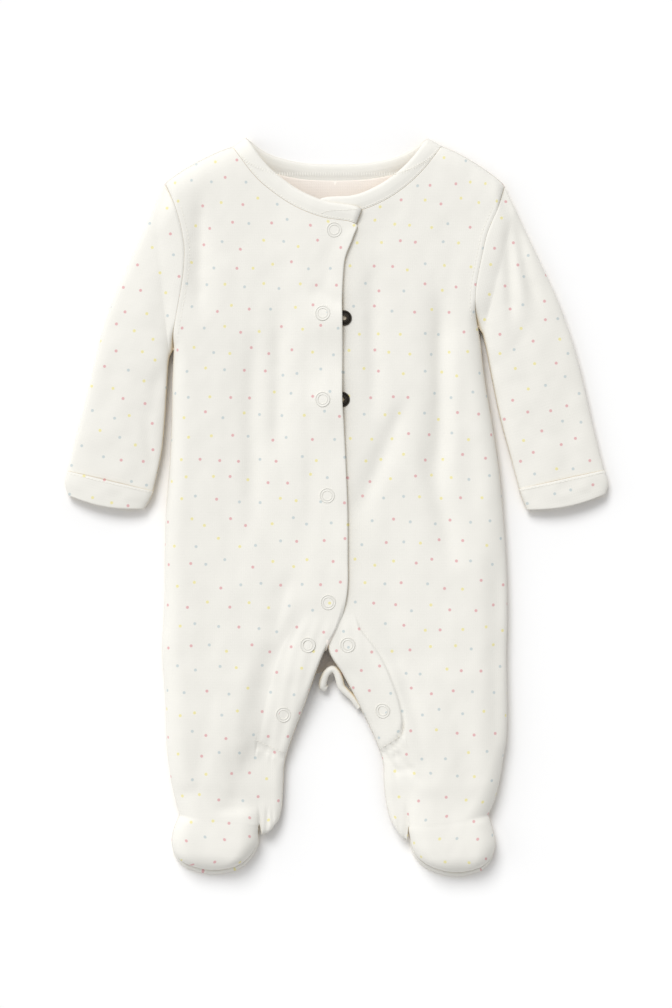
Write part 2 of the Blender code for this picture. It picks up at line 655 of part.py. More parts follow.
def back_surface(right_edges, left_edges):
    """Whole back panel: two halves joined above the crotch, a leg on each below it."""
    surface = Surface()
    necklines = {}
    for table, inner, edges, outward in (
        (RIGHT_FRONT, RIGHT_BACK_INNER, right_edges, -1),
        (LEFT_FRONT, LEFT_BACK_INNER, left_edges, 1),
    ):
        places = edges["places"]
        rows = [back_row(table, inner, v, outward) for v in places]
        underarm = places.index(UNDERARM_ROW)
        for row in rows[underarm:]:
            row[0].z -= SEAM / 2
        for point in rows[0]:
            point.z -= SEAM / 2
        indices = surface.grid(rows, flip=outward < 0)
        up, across = (0, 0, 1), (outward, 0, 0)
        surface.square_to(indices[0], up)
        surface.square_to([row[0] for row in indices[underarm:]], up)
        surface.square_to([row[0] for row in indices[1:underarm]], across)
        necklines[outward] = [row[-1] for row in rows[: places.index(NECK_ROWS) + 1]]
        edges["back_armhole"] = [row[0] for row in rows[: underarm + 1]]
        edges["heel"] = rows[-1]
    return surface, necklines


def along(points, share):
    """The place at a share of a polyline's length."""
    lengths = [(b - a).length for a, b in zip(points, points[1:])]
    left = share * sum(lengths)
    for a, b, length in zip(points, points[1:], lengths):
        if left <= length:
            return a.lerp(b, left / length)
        left -= length
    return points[-1].copy()


def ring_angles():
    """Angles round a flattened ring, from its outer fold over the top."""
    return [2 * math.pi * i / RING_STEPS for i in range(RING_STEPS)]


def ring_points(ring, bow=0.0, lift=0.0):
    """A flattened ring of cloth across a sleeve, flat below."""
    outer = Vector((ring.outer_x, ring.outer_y))
    inner = Vector((ring.inner_x, ring.inner_y))
    run = (inner - outer).normalized()
    down = Vector((-run.y, run.x))
    if down.y > 0:
        down.negate()
    points = []
    for angle in ring_angles():
        share = (1.0 - math.cos(angle)) / 2
        at = outer.lerp(inner, share) + down * bow * math.sin(math.pi * share)
        swell = abs(math.sin(angle)) ** RING_FULLNESS
        if math.sin(angle) >= 0:
            z = SLEEVE_EDGE + (ring.height - SLEEVE_EDGE) * swell
        else:
            z = SLEEVE_EDGE * (1.0 - swell)
        points.append(Vector((at.x, at.y, max(z, 0.0) + lift)))
    return points


def sleeve_surface(rings, edges, outward):
    """Sleeve from its armhole, which follows the front's and back's edges, to its cuff."""
    surface = Surface()
    first = []
    for angle in ring_angles():
        share = (1.0 - math.cos(angle)) / 2
        line = edges["armhole"] if math.sin(angle) >= 0 else edges["back_armhole"]
        at = along(line, share)
        at.x += outward * (SEAM + 0.1)
        if share < 1e-6 or share > 1 - 1e-6:
            at.z = SHOULDER_HEIGHT if share < 0.5 else edges["armhole"][-1].z
        first.append(Vector((at.x, at.y, max(at.z, 0.0))))
    rows = [first] + [ring_points(ring) for ring in rings]
    indices = surface.grid(rows, flip=outward > 0, closed=True)
    surface.square_to(indices[0], (outward, 0, 0))
    return surface


def cuff_surface(rings, outward):
    """Cuff band beyond the sleeve's end."""
    surface = Surface()
    first, second = rings[0], rings[1]
    run = Vector((second.outer_x - first.outer_x, second.outer_y - first.outer_y))
    rows = [
        ring_points(ring, bow=CUFF_BOW * i / (len(rings) - 1))
        for i, ring in enumerate(rings)
    ]
    indices = surface.grid(rows, flip=outward > 0, closed=True)
    surface.square_to(indices[0], (run.x, run.y, 0))
    return surface


def binding_surface(right_edges, left_edges, necklines):
    """Neck binding: right front, over the shoulder, across the back, over the other shoulder, left front."""
    path = list(reversed(right_edges["neckline"]))
    path += necklines[-1][1:]
    path += list(reversed(necklines[1][:-1]))
    path += left_edges["neckline"][1:]
    surface = Surface()
    rows = []
    last = len(path) - 1
    for i, point in enumerate(path):
        ahead = path[min(i + 1, last)] - path[max(i - 1, 0)]
        flat = Vector((ahead.x, ahead.y, 0)).normalized()
        towards = Vector((-flat.y, flat.x, 0))
        if towards.dot(NECK_CENTRE - Vector((point.x, point.y, 0))) < 0:
            towards.negate()
        rows.append((point, towards))
    turned = []
    for i, (point, towards) in enumerate(rows):
        near = [rows[k][1] for k in range(max(i - 1, 0), min(i + 1, last) + 1)]
        mean = sum(near, Vector((0, 0, 0))).normalized()
        row = []
        for share, swell in BINDING_SHARES:
            at = point + mean * (NECK_SEAM + BINDING_WIDTH * share)
            front = smooth((point.z - BINDING_LOW) / BINDING_RISE)
            at.z = max(at.z + swell * front, 0.0)
            row.append(at)
        turned.append(row)
    surface.grid(turned, flip=True)
    return surface


def sole_surface(edges, outward):
    """Sole: from the vamp's seam round the toe, under the foot, to the back of the heel."""
    outer, toe, inner = edges["vamp_outer"], edges["toe"], edges["vamp_inner"]
    seam = list(outer[1:]) + list(toe) + list(reversed(inner))
    heel_line = edges["heel"]
    notch_x = inner[0].x
    heel = [p for p in heel_line if (p.x - notch_x) * outward > 1.0]
    loop = []
    for point in seam:
        loop.append((Vector((point.x, point.y, point.z - SOLE_SEAM)), True))
    for point in reversed(heel[1:]):
        loop.append((Vector((point.x, point.y - SEAM - 0.05, point.z)), False))
    centre = sum((p for p, _ in loop), Vector((0, 0, 0))) / len(loop)
    count = len(loop)
    surface = Surface()
    rings = [[], [], [], []]
    for i, (point, on_seam) in enumerate(loop):
        ahead = loop[(i + 1) % count][0] - loop[i - 1][0]
        out = Vector((ahead.y, -ahead.x, 0)).normalized()
        if out.dot(Vector((point.x - centre.x, point.y - centre.y, 0))) < 0:
            out.negate()
        rings[0].append(point)
        if on_seam:
            bulge = SOLE_SIDE + (SOLE_TOE - SOLE_SIDE) * max(0.0, -out.y) ** 1.5
            rings[1].append(point + out * bulge - Vector((0, 0, SOLE_DROP * point.z)))
            low = point - out * SOLE_TUCK
        else:
            rings[1].append(point - out * HEEL_IN - Vector((0, 0, HEEL_DROP * point.z)))
            low = point - out * HEEL_TUCK
        rings[2].append(Vector((low.x, low.y, 0.0)))
        inside = low.lerp(centre, SOLE_INNER)
        rings[3].append(Vector((inside.x, inside.y, 0.0)))
    surface.grid(rings, flip=outward > 0, closed=True)
    hub = surface.add((centre.x, centre.y, 0.0))
    last = [surface.add(p) for p in rings[3]]
    for a, b in zip(last, last[1:] + last[:1]):
        corners = [a, hub, b]
        surface.face(corners[::-1] if outward > 0 else corners)
    seam_points = [surface.add(p) for p, on_seam in loop if on_seam]
    surface.square_to(seam_points, (0, 0, 1))
    return surface


def gather_surface():
    """Gathered edge of the back crotch: a narrow strip that swings up and down in waves."""
    surface = Surface()
    rows = []
    ends = len(GATHER_LINE) - 1
    for i in range(GATHER_STEPS + 1):
        share = i / GATHER_STEPS
        at = spline(GATHER_LINE, share * ends)
        ahead = spline(GATHER_LINE, min(share * ends + 0.05, ends))
        behind = spline(GATHER_LINE, max(share * ends - 0.05, 0.0))
        run = Vector((ahead.x - behind.x, ahead.y - behind.y)).normalized()
        down = Vector((run.y, -run.x))
        fade = smooth(min(share, 1 - share) / GATHER_FADE)
        swing = math.sin(2 * math.pi * GATHER_WAVES * share)
        turn = math.cos(2 * math.pi * GATHER_WAVES * share)
        row = []
        for across in (0.0, 0.5, 1.0):
            width = GATHER_ROOT + (1 - GATHER_ROOT) * fade + GATHER_FLARE * turn * fade
            reach = GATHER_WIDTH * across * width
            slip = GATHER_SWING * GATHER_SLIP * swing * across * fade
            x = at.x + down.x * reach + run.x * slip
            y = at.y + down.y * reach + run.y * slip
            wave = GATHER_ROOT + (1 - GATHER_ROOT) * across
            z = GATHER_HEIGHT + GATHER_SWING * turn * fade * wave
            row.append(Vector((x, y, z)))
        rows.append(row)
    surface.grid(rows, flip=False)
    return surface


def turned_piece(name, profile, centre, normal, material):
    """A round piece turned about a surface's normal from (radius, height) pairs."""
    mesh = bmesh.new()
    loops = []
    for radius, height in profile:
        ring = []
        for i in range(SNAP_SIDES):
            angle = 2 * math.pi * i / SNAP_SIDES
            at = (radius * math.cos(angle) * MM, radius * math.sin(angle) * MM, height * MM)
            ring.append(mesh.verts.new(at))
        loops.append(ring)
    for ring, after in zip(loops, loops[1:] + loops[:1]):
        for i in range(SNAP_SIDES):
            k = (i + 1) % SNAP_SIDES
            mesh.faces.new([ring[i], ring[k], after[k], after[i]])
    turn = Vector((0, 0, 1)).rotation_difference(normal)
    obj = finish_object(name, mesh, material)
    obj.location = (centre - Vector((CENTRE_X, CENTRE_Y, 0.0))) * MM
    obj.rotation_mode = "QUATERNION"
    obj.rotation_quaternion = turn
    return obj


def seat_on(tree, place, radius):
    """Where a round piece sits on a surface: its centre, clear of the cloth all round, and its normal."""
    above = Vector((place.x, place.y, 100.0))
    straight_down = Vector((0, 0, -1))
    hits = []
    for i in range(12):
        angle = 2 * math.pi * i / 12
        start = above + Vector((math.cos(angle), math.sin(angle), 0)) * radius
        hit = tree.ray_cast(start, straight_down)[0]
        if hit:
            hits.append(hit)
    centre = tree.ray_cast(above, straight_down)[0]
    slope_x = sum((h.x - place.x) * (h.z - centre.z) for h in hits)
    slope_y = sum((h.y - place.y) * (h.z - centre.z) for h in hits)
    spread = max(sum((h.x - place.x) ** 2 for h in hits), 1e-6)
    normal = Vector((-slope_x / spread, -slope_y / spread, 1.0)).normalized()
    rise = max((h - centre).dot(normal) for h in hits + [centre])
    return centre + normal * (rise + SEAM), normal


def ring_profile():
    """Cross-section of a snap's ring cap, as (radius, height), outer side first."""
    outer, bore = SNAP_RING / 2, SNAP_BORE / 2
    return [
        (outer, 0.0),
        (outer, SNAP_HEIGHT * 0.45),
        (outer - 0.5, SNAP_HEIGHT),
        (bore + 0.5, SNAP_HEIGHT),
        (bore, 0.0),
    ]


def socket_profile():
    """Cross-section of an open snap half: a rimmed plate with a raised boss and a bore."""
    outer, boss, bore = SNAP_RING / 2, SOCKET_BOSS / 2, SOCKET_BOSS / 2 - 1.2
    return [
        (outer, 0.0),
        (outer, 0.9),
        (outer - 0.9, 0.9),
        (outer - 1.2, 0.5),
        (boss, 0.5),
        (boss, SOCKET_HEIGHT),
        (bore, SOCKET_HEIGHT),
        (bore, 0.0),
    ]


def build():
    """Make every piece of the sleepsuit."""
    for obj in list(bpy.data.objects):
        bpy.data.objects.remove(obj, do_unlink=True)
    cloth = make_material("cream_interlock", CREAM, 0.9)
    rib = make_material("plain_binding", CREAM, 0.85)
    caps = make_material("white_caps", CAP_WHITE, 0.35)
    metal = make_material("gunmetal", GUNMETAL, 0.35, 1.0)

    right, right_edges = front_surface(RIGHT_FRONT, RIGHT_FOOT, True, -1, RIGHT_HEEL_BOW)
    left, left_edges = front_surface(LEFT_FRONT, LEFT_FOOT, False, 1, LEFT_HEEL_BOW)
    back, necklines = back_surface(right_edges, left_edges)
    wall("back_panel", back, CLOTH, cloth)
    wall("front_right", right, CLOTH, cloth)
    wall("front_left", left, CLOTH, cloth)
    wall("sleeve_right", sleeve_surface(RIGHT_SLEEVE, right_edges, -1), CLOTH, cloth)
    wall("sleeve_left", sleeve_surface(LEFT_SLEEVE, left_edges, 1), CLOTH, cloth)
    wall("cuff_right", cuff_surface(RIGHT_CUFF, -1), CUFF_CLOTH, cloth)
    wall("cuff_left", cuff_surface(LEFT_CUFF, 1), CUFF_CLOTH, cloth)
    wall("sole_right", sole_surface(right_edges, -1), CLOTH, cloth)
    wall("sole_left", sole_surface(left_edges, 1), CLOTH, cloth)
    wall("crotch_gather", gather_surface(), GATHER_CLOTH, rib)
    binding = binding_surface(right_edges, left_edges, necklines)
    wall("neck_binding", binding, BINDING_CLOTH, rib)

    right_tree, left_tree = right.tree(), left.tree()
    for name, place in SNAPS.items():
        tree = left_tree if "leg_left" in name else right_tree
        centre, normal = seat_on(tree, place, SNAP_RING / 2)
        turned_piece(name, ring_profile(), centre, normal, caps)
    for name, place in SOCKETS.items():
        centre, normal = seat_on(left_tree, place, SNAP_RING / 2)
        turned_piece(name, socket_profile(), centre, normal, metal)


build()
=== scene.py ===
"""Footed baby sleepsuit in dotted cream interlock cotton, laid flat on its back.

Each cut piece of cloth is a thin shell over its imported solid. X runs to the wearer's left, +Y towards the
neck and Z up from the floor. Tables are in millimetres in the pattern's own frame; meshes are in metres.
"""

import logging
import math
from dataclasses import dataclass, field
from enum import Enum
from typing import NamedTuple, Sequence

import bpy
import numpy as np
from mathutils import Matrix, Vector
from mathutils.bvhtree import BVHTree

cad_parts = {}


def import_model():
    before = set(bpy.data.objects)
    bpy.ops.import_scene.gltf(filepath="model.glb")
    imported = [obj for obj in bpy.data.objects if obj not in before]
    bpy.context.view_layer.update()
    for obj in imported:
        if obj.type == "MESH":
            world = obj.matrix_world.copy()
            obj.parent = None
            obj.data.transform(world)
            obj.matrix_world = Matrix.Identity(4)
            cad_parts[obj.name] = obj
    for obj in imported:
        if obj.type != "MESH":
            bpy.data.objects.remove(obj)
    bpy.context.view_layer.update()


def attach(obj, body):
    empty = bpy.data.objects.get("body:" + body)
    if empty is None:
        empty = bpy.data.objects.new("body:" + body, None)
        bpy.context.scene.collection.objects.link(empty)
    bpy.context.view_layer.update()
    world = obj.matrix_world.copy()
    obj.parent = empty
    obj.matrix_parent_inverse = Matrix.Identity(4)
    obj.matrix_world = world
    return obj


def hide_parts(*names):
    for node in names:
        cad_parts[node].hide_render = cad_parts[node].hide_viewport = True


Array = np.ndarray
Material = bpy.types.Material
Object = bpy.types.Object
Tree = bpy.types.NodeTree
Socket = bpy.types.NodeSocket
LOG = logging.getLogger("sleepsuit")

MM = 0.001
PATTERN_CENTRE = np.array([0.65, -0.35, 0.0])  # the garment's middle in the pattern frame
CLOTH, BINDING_CLOTH = 0.8, 0.6  # thickness of one layer of interlock, and of the binding's jersey
HAIR = 0.06  # clear distance between two pieces at a seam


class Side(Enum):
    """Which half of the wearer a piece is on; the value is the sign of X there."""

    RIGHT = -1
    LEFT = 1

    @property
    def word(self) -> str:
        """The side's name within the names of pieces."""
        return self.name.lower()


class Edge(Enum):
    """Edges of a front that other pieces are sewn to."""

    ARMHOLE = "armhole"
    NECKLINE = "neckline"
    VAMP_OUTER = "vamp outer"
    TOE = "toe"
    VAMP_INNER = "vamp inner"


class Section(NamedTuple):
    """One section across a front; fold is how far the lengthwise fold lies from the inner edge."""

    side_x: float
    side_y: float
    side_z: float
    side_round: float
    edge_x: float
    edge_y: float
    edge_z: float
    edge_round: float
    fold: float


class FootSection(NamedTuple):
    """One section across a vamp, with the height of the sole seam at each end."""

    side_x: float
    side_y: float
    side_z: float
    edge_x: float
    edge_y: float
    edge_z: float


class Ring(NamedTuple):
    """One section round a sleeve: its two side folds and its height."""

    outer_x: float
    outer_y: float
    inner_x: float
    inner_y: float
    height: float


class Crease(NamedTuple):
    """A soft trough between two points, or a ridge where its depth is negative; bend bows it sideways."""

    x0: float
    y0: float
    x1: float
    y1: float
    half_width: float
    depth: float
    bend: float = 0.0
    lean: float = 0.0


class Wave(NamedTuple):
    """One layer of the cloth's unevenness: its height, stretch along the body, width and seed."""

    height: float
    stretch: float
    width: float
    seed: int


RIGHT_FRONT = [Section(*row) for row in (
    (-115, 218.6, 5, 8, -69.5, 243.4, 15, 0, 14),  # shoulder seam
    (-108, 203, 8, 8, -55.5, 224.5, 15, 0, 16),
    (-104, 189, 9.5, 8, -42, 212.3, 15, 0, 18),
    (-101.8, 176, 10.5, 8, -26, 202, 15, 0, 20),
    (-102, 163, 11, 8, -8.5, 195.2, 15, 0, 20),
    (-103.2, 152, 11, 8, 12.4, 191.3, 15, 0, 20),  # neckline corner
    (-105.3, 140, 10.5, 8, 11.2, 182, 15, 0, 20),
    (-107.5, 128, 9.5, 8, 5.8, 168, 15, 0, 20),
    (-109.4, 117, 8, 8, 4.2, 154, 15, 0, 20),
    (-109.4, 107, 6.2, 9, 3.6, 140, 15, 0, 20),  # underarm
    (-109.9, 97, 6, 12, 3.7, 127.5, 15, 0, 20),
    (-110.4, 82, 6, 12, 3.9, 108, 15, 0, 20),
    (-110.6, 67, 6, 12, 3.8, 90, 15, 0, 20),
    (-110.9, 53, 6, 12, 3.7, 72.7, 15, 0, 20),
    (-111.6, 38, 6, 12, 4.8, 54, 15, 0, 20),
    (-112.8, 19, 6, 12, 6.1, 28, 15, 0, 20),
    (-114.7, -4, 6, 12, 7.2, 0, 15, 0, 20),
    (-115.4, -32, 6, 12, 7.4, -32, 15.5, 0, 22),
    (-115.4, -56, 6.5, 13, 7, -57, 16, 0, 28),
    (-116.3, -78, 6.5, 13, 1.8, -79.5, 16, 0, 37),
    (-117.2, -96, 7, 13, -6.9, -96, 14.5, 0, 39),  # crotch
    (-116.2, -113, 7, 14, -13.5, -113, 9, 3, 38),
    (-114.8, -134, 7, 14, -21, -134, 6.5, 5, 35),
    (-114.4, -156, 7, 14, -29.4, -156, 5.8, 6, 29),
    (-112.9, -172, 7, 14, -34.2, -172, 5.6, 6, 25),
    (-111, -185, 7, 15, -35.3, -187, 5.6, 6, 21),
    (-108.3, -197.5, 6.5, 16, -36.3, -202, 5.4, 6, 16),
    (-105.5, -207.6, 6.2, 16, -38.9, -214.5, 5, 6, 12.5),  # ankle
)]

LEFT_FRONT = [Section(*row) for row in (
    (114, 217.2, 5, 8, 71.5, 243.8, 15, 0, 14),
    (109.3, 202, 8, 8, 60.5, 229, 15, 0, 16),
    (105.6, 193.5, 9.5, 8, 48, 216.8, 15, 0, 18),
    (101.8, 184, 10.5, 8, 32.5, 206.5, 15, 0, 20),
    (99, 172, 11, 8, 14.5, 199.5, 15, 0, 20),
    (96.8, 161.5, 11, 8, -8.5, 196.8, 15, 0, 20),
    (95, 152, 10.5, 8, -9.5, 184, 15, 0, 20),
    (94, 142, 9.5, 8, -10.2, 169, 15, 0, 20),
    (94.3, 132.5, 8, 8, -11, 154, 15, 0, 20),
    (96.2, 122, 6.2, 9, -11, 140, 15, 0, 20),
    (98.2, 111, 6, 12, -11, 127.5, 15, 0, 20),
    (99.8, 96, 6, 12, -11, 108, 15, 0, 20),
    (101.9, 81, 6, 12, -11, 90, 15, 0, 20),
    (104.5, 66, 6, 12, -11, 72.7, 15, 0, 20),
    (107.4, 48, 6, 13, -10.6, 54, 15, 0, 20),
    (110.8, 24, 6, 13, -10, 28, 15, 0, 20),
    (113, 0, 6, 14, -9, 0, 15, 0, 20),
    (115, -30, 6, 9, -8.5, -32, 15.5, 0, 21),
    (115.8, -56, 6.5, 8, -8, -57, 16, 0, 24),
    (115.9, -78, 6.5, 7, -6.5, -79.5, 16, 0, 28),
    (115.4, -96, 7, 7, -4.4, -97.2, 14.5, 0, 41),
    (115.5, -112, 7, 7, 4.2, -112, 9, 3, 40),
    (115.8, -132, 7, 7, 15.3, -132.5, 6.5, 5, 35),
    (115.5, -154, 7, 7, 26, -154.5, 5.8, 6, 26),
    (113, -171, 7, 8, 31.9, -171, 5.6, 6, 21),
    (110.8, -184, 7, 10, 32.7, -186, 5.6, 6, 16),
    (107.5, -197, 6.5, 13, 34.6, -201.5, 5.4, 5, 13),
    (103.3, -207.6, 6.2, 17, 38.5, -215.5, 5, 4, 11),
)]

RIGHT_FOOT = [FootSection(*row) for row in (
    (-107.6, -212.5, 6.6, -51.7, -214.8, 10.6),
    (-109.6, -218, 7, -52, -219, 9.2),
    (-110.7, -225, 7, -52.5, -226, 7.8),
    (-109.2, -232, 7, -56.5, -233.5, 7),
    (-106, -237, 7, -62, -239.2, 7),
    (-101, -240.6, 7, -68, -242.6, 7),
)]

LEFT_FOOT = [FootSection(*row) for row in (
    (104.8, -212.5, 6.6, 49.2, -218, 10.4),
    (106.5, -218.5, 7, 50.2, -223.5, 8.6),
    (107.9, -226, 7, 51.8, -229.8, 7.4),
    (106.6, -232.5, 7, 55.2, -235.6, 7),
    (103.3, -238.6, 7, 60.5, -240.2, 7),
    (98, -243, 7, 67, -243.4, 7),
)]

# How high the cloth lofts along the body: y, the middle of a front, beside its inner edge
LOFTS = np.array(
    [
        (260, 13, 13),
        (200, 14, 14),
        (140, 15, 15),
        (0, 15, 15),
        (-57, 16, 16),
        (-96, 17, 14.5),
        (-120, 18, 12.5),
        (-150, 18.5, 11.5),
        (-185, 17.5, 11),
        (-198, 16.8, 10.5),
        (-230, 18.6, 9),
        (-250, 18.6, 9),
    ]
)

MAIN_FOLDS = [Crease(*row) for row in (
    (-91, 199, -91, 140, 8, 1.6),
    (-55, 106, -56, 5, 8, 1.4),
    (-38, 123, -39, 45, 7, 1.2),
    (-33, -50, -42, -84, 6.5, 1.5, 0, 0.3),
    (25, 151, 26, 72, 8, 1.4),
    (71, 135, 70, 32, 8, 2.6),
    (18, 4, 44, 64, 8, 1.6),
    (66, 36, 76, -28, 8, 1.6),
    (111, -30, 112, -176, 9, 4.6),
    (37, -92, 60, -172, 5, 1.1, -3),
)]

SLEEVES = {
    Side.RIGHT: [
        Ring(-122.5, 202.5, -112.2, 102, 13),
        Ring(-131, 184, -113, 97, 13.5),
        Ring(-140, 163.5, -113.4, 91, 13.5),
        Ring(-149, 143, -113.8, 84, 13),
        Ring(-156.5, 122, -114.3, 76, 12.5),
        Ring(-161.8, 101, -114.9, 66, 12),
        Ring(-166.5, 81, -115.8, 54, 11.5),
        Ring(-171.5, 61, -117, 41, 11),
        Ring(-176.5, 43, -119.4, 28, 10.5),
        Ring(-180.4, 25.2, -123.2, 11.6, 10),
    ],
    Side.LEFT: [
        Ring(121, 202.5, 99.4, 117, 13),
        Ring(128.8, 185.5, 101, 110.5, 13.5),
        Ring(138.8, 164.5, 102.6, 103, 13.5),
        Ring(148.8, 143, 104.2, 94.5, 13),
        Ring(157, 121, 106, 85, 12.5),
        Ring(163.4, 100, 108.2, 74, 12),
        Ring(168.6, 79, 110.9, 61.5, 11.5),
        Ring(173, 59, 114.4, 48, 11),
        Ring(177.6, 40, 118.6, 33, 10.5),
        Ring(181.2, 26, 124, 12.9, 10),
    ],
}
CUFFS = {
    Side.RIGHT: [
        Ring(-181.4, 24.8, -122.9, 11, 11.2),
        Ring(-182.9, 16.5, -125.8, 4.8, 11),
        Ring(-181.2, 9, -129, -0.4, 10.4),
    ],
    Side.LEFT: [
        Ring(181.9, 25.4, 123.7, 12.5, 11.2),
        Ring(184.2, 17, 126.4, 5.6, 11),
        Ring(183, 10, 129, -1, 10.4),
    ],
}

# The seam line of the back neckline on each side, from the shoulder to the middle
BACK_NECKS = {
    Side.RIGHT: [(-69.5, 243.4), (-56, 233), (-42, 226.6), (-22, 222.4), (0, 221.4)],
    Side.LEFT: [(71.5, 243.8), (58, 233.6), (43, 226.6), (22, 222.4), (0, 221.4)],
}

# Smaller creases and ridges that only the cloth shows
SMALL_CREASES = [Crease(*row) for row in (
    (-91, 200, -92, 138, 5, 1, 0, 0.3),
    (-56, 108, -57, 4, 6, 0.9),
    (-38, 120, -39, 46, 5, 0.8),
    (-18, 96, -17, 4, 6, 0.9, 0, -0.3),
    (-72, 60, -70, -30, 10, 0.6),
    (-14, 147, 3, 136, 5, 1.2),
    (-20, -4, -26, -60, 8, 0.7),
    (-82, -40, -86, -100, 10, 0.6),
    (-60, -70, -68, -120, 9, 0.7),
    (-84, -130, -92, -176, 9, 0.7),
    (25, 151, 26, 72, 5, 0.9),
    (71, 133, 70, 34, 6, 1.3, 0, -0.3),
    (80, 120, 80, 40, 5, -0.5),
    (20, 6, 43, 62, 5, 0.9),
    (62, 36, 78, -26, 7, 0.9),
    (78, -130, 88, -186, 8, 0.7),
    (50, 120, 54, 60, 9, -0.5),
    (88, 70, 90, 10, 8, 0.6),
    (28, -30, 40, -70, 9, 0.6),
    (34, -167, 42, -181, 2.2, 0.7),
    (40, -164, 50, -178, 2.2, 0.6),
    (-52, -200, -78, -203, 4, 0.9, -1),
    (-90, -189, -104, -193, 5, 0.8),
    (33, -167, 41.5, -177.5, 1.7, 1),  # pinches under the left leg's snap band
    (41.5, -177.5, 52, -176, 1.8, 0.8),
    (37, -169, 46, -165, 1.5, 0.8),
    (46, -170, 57, -184, 2.6, 0.7),
    (-46, -203, -46.5, -213, 1.3, 0.8),  # gathers beside the heels
    (-42.5, -204, -42, -212, 1.1, 0.6),
    (46.5, -212, 47, -221, 1.3, 0.9),
    (42.5, -208, 44, -214, 1.2, 0.6),
)]

SLEEVE_CREASES = {
    Side.RIGHT: [
        Crease(-127, 53, -124, 26, 4, 1),
        Crease(-119, 92, -126, 60, 5, 0.9),
        Crease(-136, 150, -146, 118, 8, 0.6),
        Crease(-152, 92, -158, 60, 8, 0.7),
    ],
    Side.LEFT: [
        Crease(116.5, 182, 118.5, 130, 3.6, 1.6),
        Crease(123, 188, 135, 140, 4.2, 1.9, 1.5),
        Crease(121, 182, 126.5, 134, 3.6, -0.9),
        Crease(124, 120, 132, 84, 6, 0.7),
        Crease(152, 84, 160, 50, 8, 0.6),
    ],
}

FRONT_WAVES = (Wave(0.34, 0.45, 13.0, 3), Wave(0.16, 0.7, 6.0, 5))
SLEEVE_WAVES = (Wave(0.3, 1.0, 12.0, 7), Wave(0.15, 1.0, 6.0, 8))
CUFF_WAVES = (Wave(0.5, 1.0, 7.0, 11),)

# Where the wearer's right front laps over the left one
LAP_LIFT, LAP_START, LAP_RISE = 2.0, -48.0, 38.0
SOCKET_PLACES = [(5.7, 127.5), (4.4, 72.7)]
SOCKET_LIFT, SOCKET_LIFT_REACH, SOCKET_LIFT_START, SOCKET_LIFT_RISE = 2.6, 17.0, -34.0, 30.0

# How deep the leg drops beside its snap band: distances below the waist, and the depth there
DEEP_TRENCH = ((62.0, 88.0, 120.0, 172.0, 196.0, 207.0), (0.0, 2.8, 4.4, 4.2, 2.8, 0.0))
SHALLOW_TRENCH = ((80.0, 100.0, 140.0, 158.0), (0.0, 0.5, 0.7, 0.0))

# How far from its seam each row of stitches runs
NECK_STITCH, ARMHOLE_STITCH, PLACKET_STITCH, TOE_STITCH, OVERLOCK = 1.3, 3.4, 1.6, 1.2, 1.6
CROTCH_TACK = [(-6.8, -93.6), (-4.6, -96.6), (-3.0, -99.0)]
BACK_NECK_TOP = 1.0  # the binding's seam lies lower than this inside the back of the neck

# Places of the ring caps in each row of snaps, from the top
SNAP_PLACES = {
    "front": [(-1.0, 186.8), (-8.7, 130.6), (-8.7, 72.7), (-5.7, 8.1), (-5.0, -63.6)],
    "leg_right": [(-18.7, -92.3), (-35.2, -139.4)],
    "leg_left": [(8.1, -92.3), (31.7, -136.6)],
}
SNAP_RADIUS, SNAP_BORE, SNAP_HEIGHT = 5.2, 2.9, 0.85
SOCKET_PROFILE = [
    (5.2, 0.0), (5.2, 0.7), (4.9, 1.0), (4.3, 1.0), (4.0, 0.7), (3.7, 0.35),
    (3.1, 0.35), (2.9, 1.5), (2.6, 1.8), (1.9, 1.8), (1.6, 1.5), (1.6, 0.2),
]

UNDERARM_ROW, CORNER_ROW, CROTCH_ROW, NECK_ROWS = 9, 5, 20, 4
# Columns of a front inside its lengthwise fold, as shares of its distance, closest at the placket's side
PLACKET_SIDE = [0.95, 0.9, 0.865, 0.84, 0.825, 0.812, 0.8, 0.788, 0.775, 0.755, 0.73]
INNER_SHARES = np.concatenate([PLACKET_SIDE, np.linspace(0.69, 0.06, 14), [0.03, 0.0]])
SHOULDER_HEIGHT, SHOULDER_BOW, SHOULDER_ROUND = 5.0, 2.9, 14.0
SHOULDER_ROWS, UNDERARM_ROWS = 1.2, 2.0  # rows over which each of these seams eases in
CREASE_PAST, CREASE_FADE = 0.3, 0.5  # how far a crease runs past its ends, and fades, in its lengths
NOISE_CELLS, NOISE_START = 97, 40.0  # of the grid that the noise is drawn on
TINY = 1e-6


def smooth(t: Array) -> Array:
    """Ease from 0 to 1 as t runs from 0 to 1."""
    t = np.clip(t, 0.0, 1.0)
    return t * t * (3.0 - 2.0 * t)


def ease(t: float) -> float:
    """Ease one number from 0 to 1."""
    return float(smooth(t))


def quarter_round(distance: Array, reach: float) -> Array:
    """Height share of a rounded edge: 0 and upright at the edge, 1 from reach inwards."""
    t = np.clip(np.asarray(distance, float) / max(reach, 1e-3), 0.0, 1.0)
    return np.sqrt(1.0 - (1.0 - t) ** 2)


def bell(distance: Array, width: Array) -> Array:
    """A bump of height 1 that falls off over its width to both sides."""
    return np.exp(-((distance / width) ** 2))


def run_along(points: Array) -> Array:
    """Length of a line up to each of its points."""
    return np.concatenate([[0.0], np.cumsum(np.linalg.norm(np.diff(points, axis=0), axis=1))])


def along_line(points: Array, share: float) -> Array:
    """The place at a share of a line's length."""
    places = run_along(points)
    return np.array([np.interp(share, places / places[-1], column) for column in points.T])


def unit(rows: Array) -> Array:
    """The rows, each brought to length 1."""
    return rows / np.maximum(np.linalg.norm(rows, axis=1), TINY)[:, None]


def left_of(line: Array) -> Array:
    """The way to the left of a line at each of its points, in plan."""
    ahead = unit(np.gradient(line[:, :2], axis=0))
    return np.column_stack([-ahead[:, 1], ahead[:, 0]])


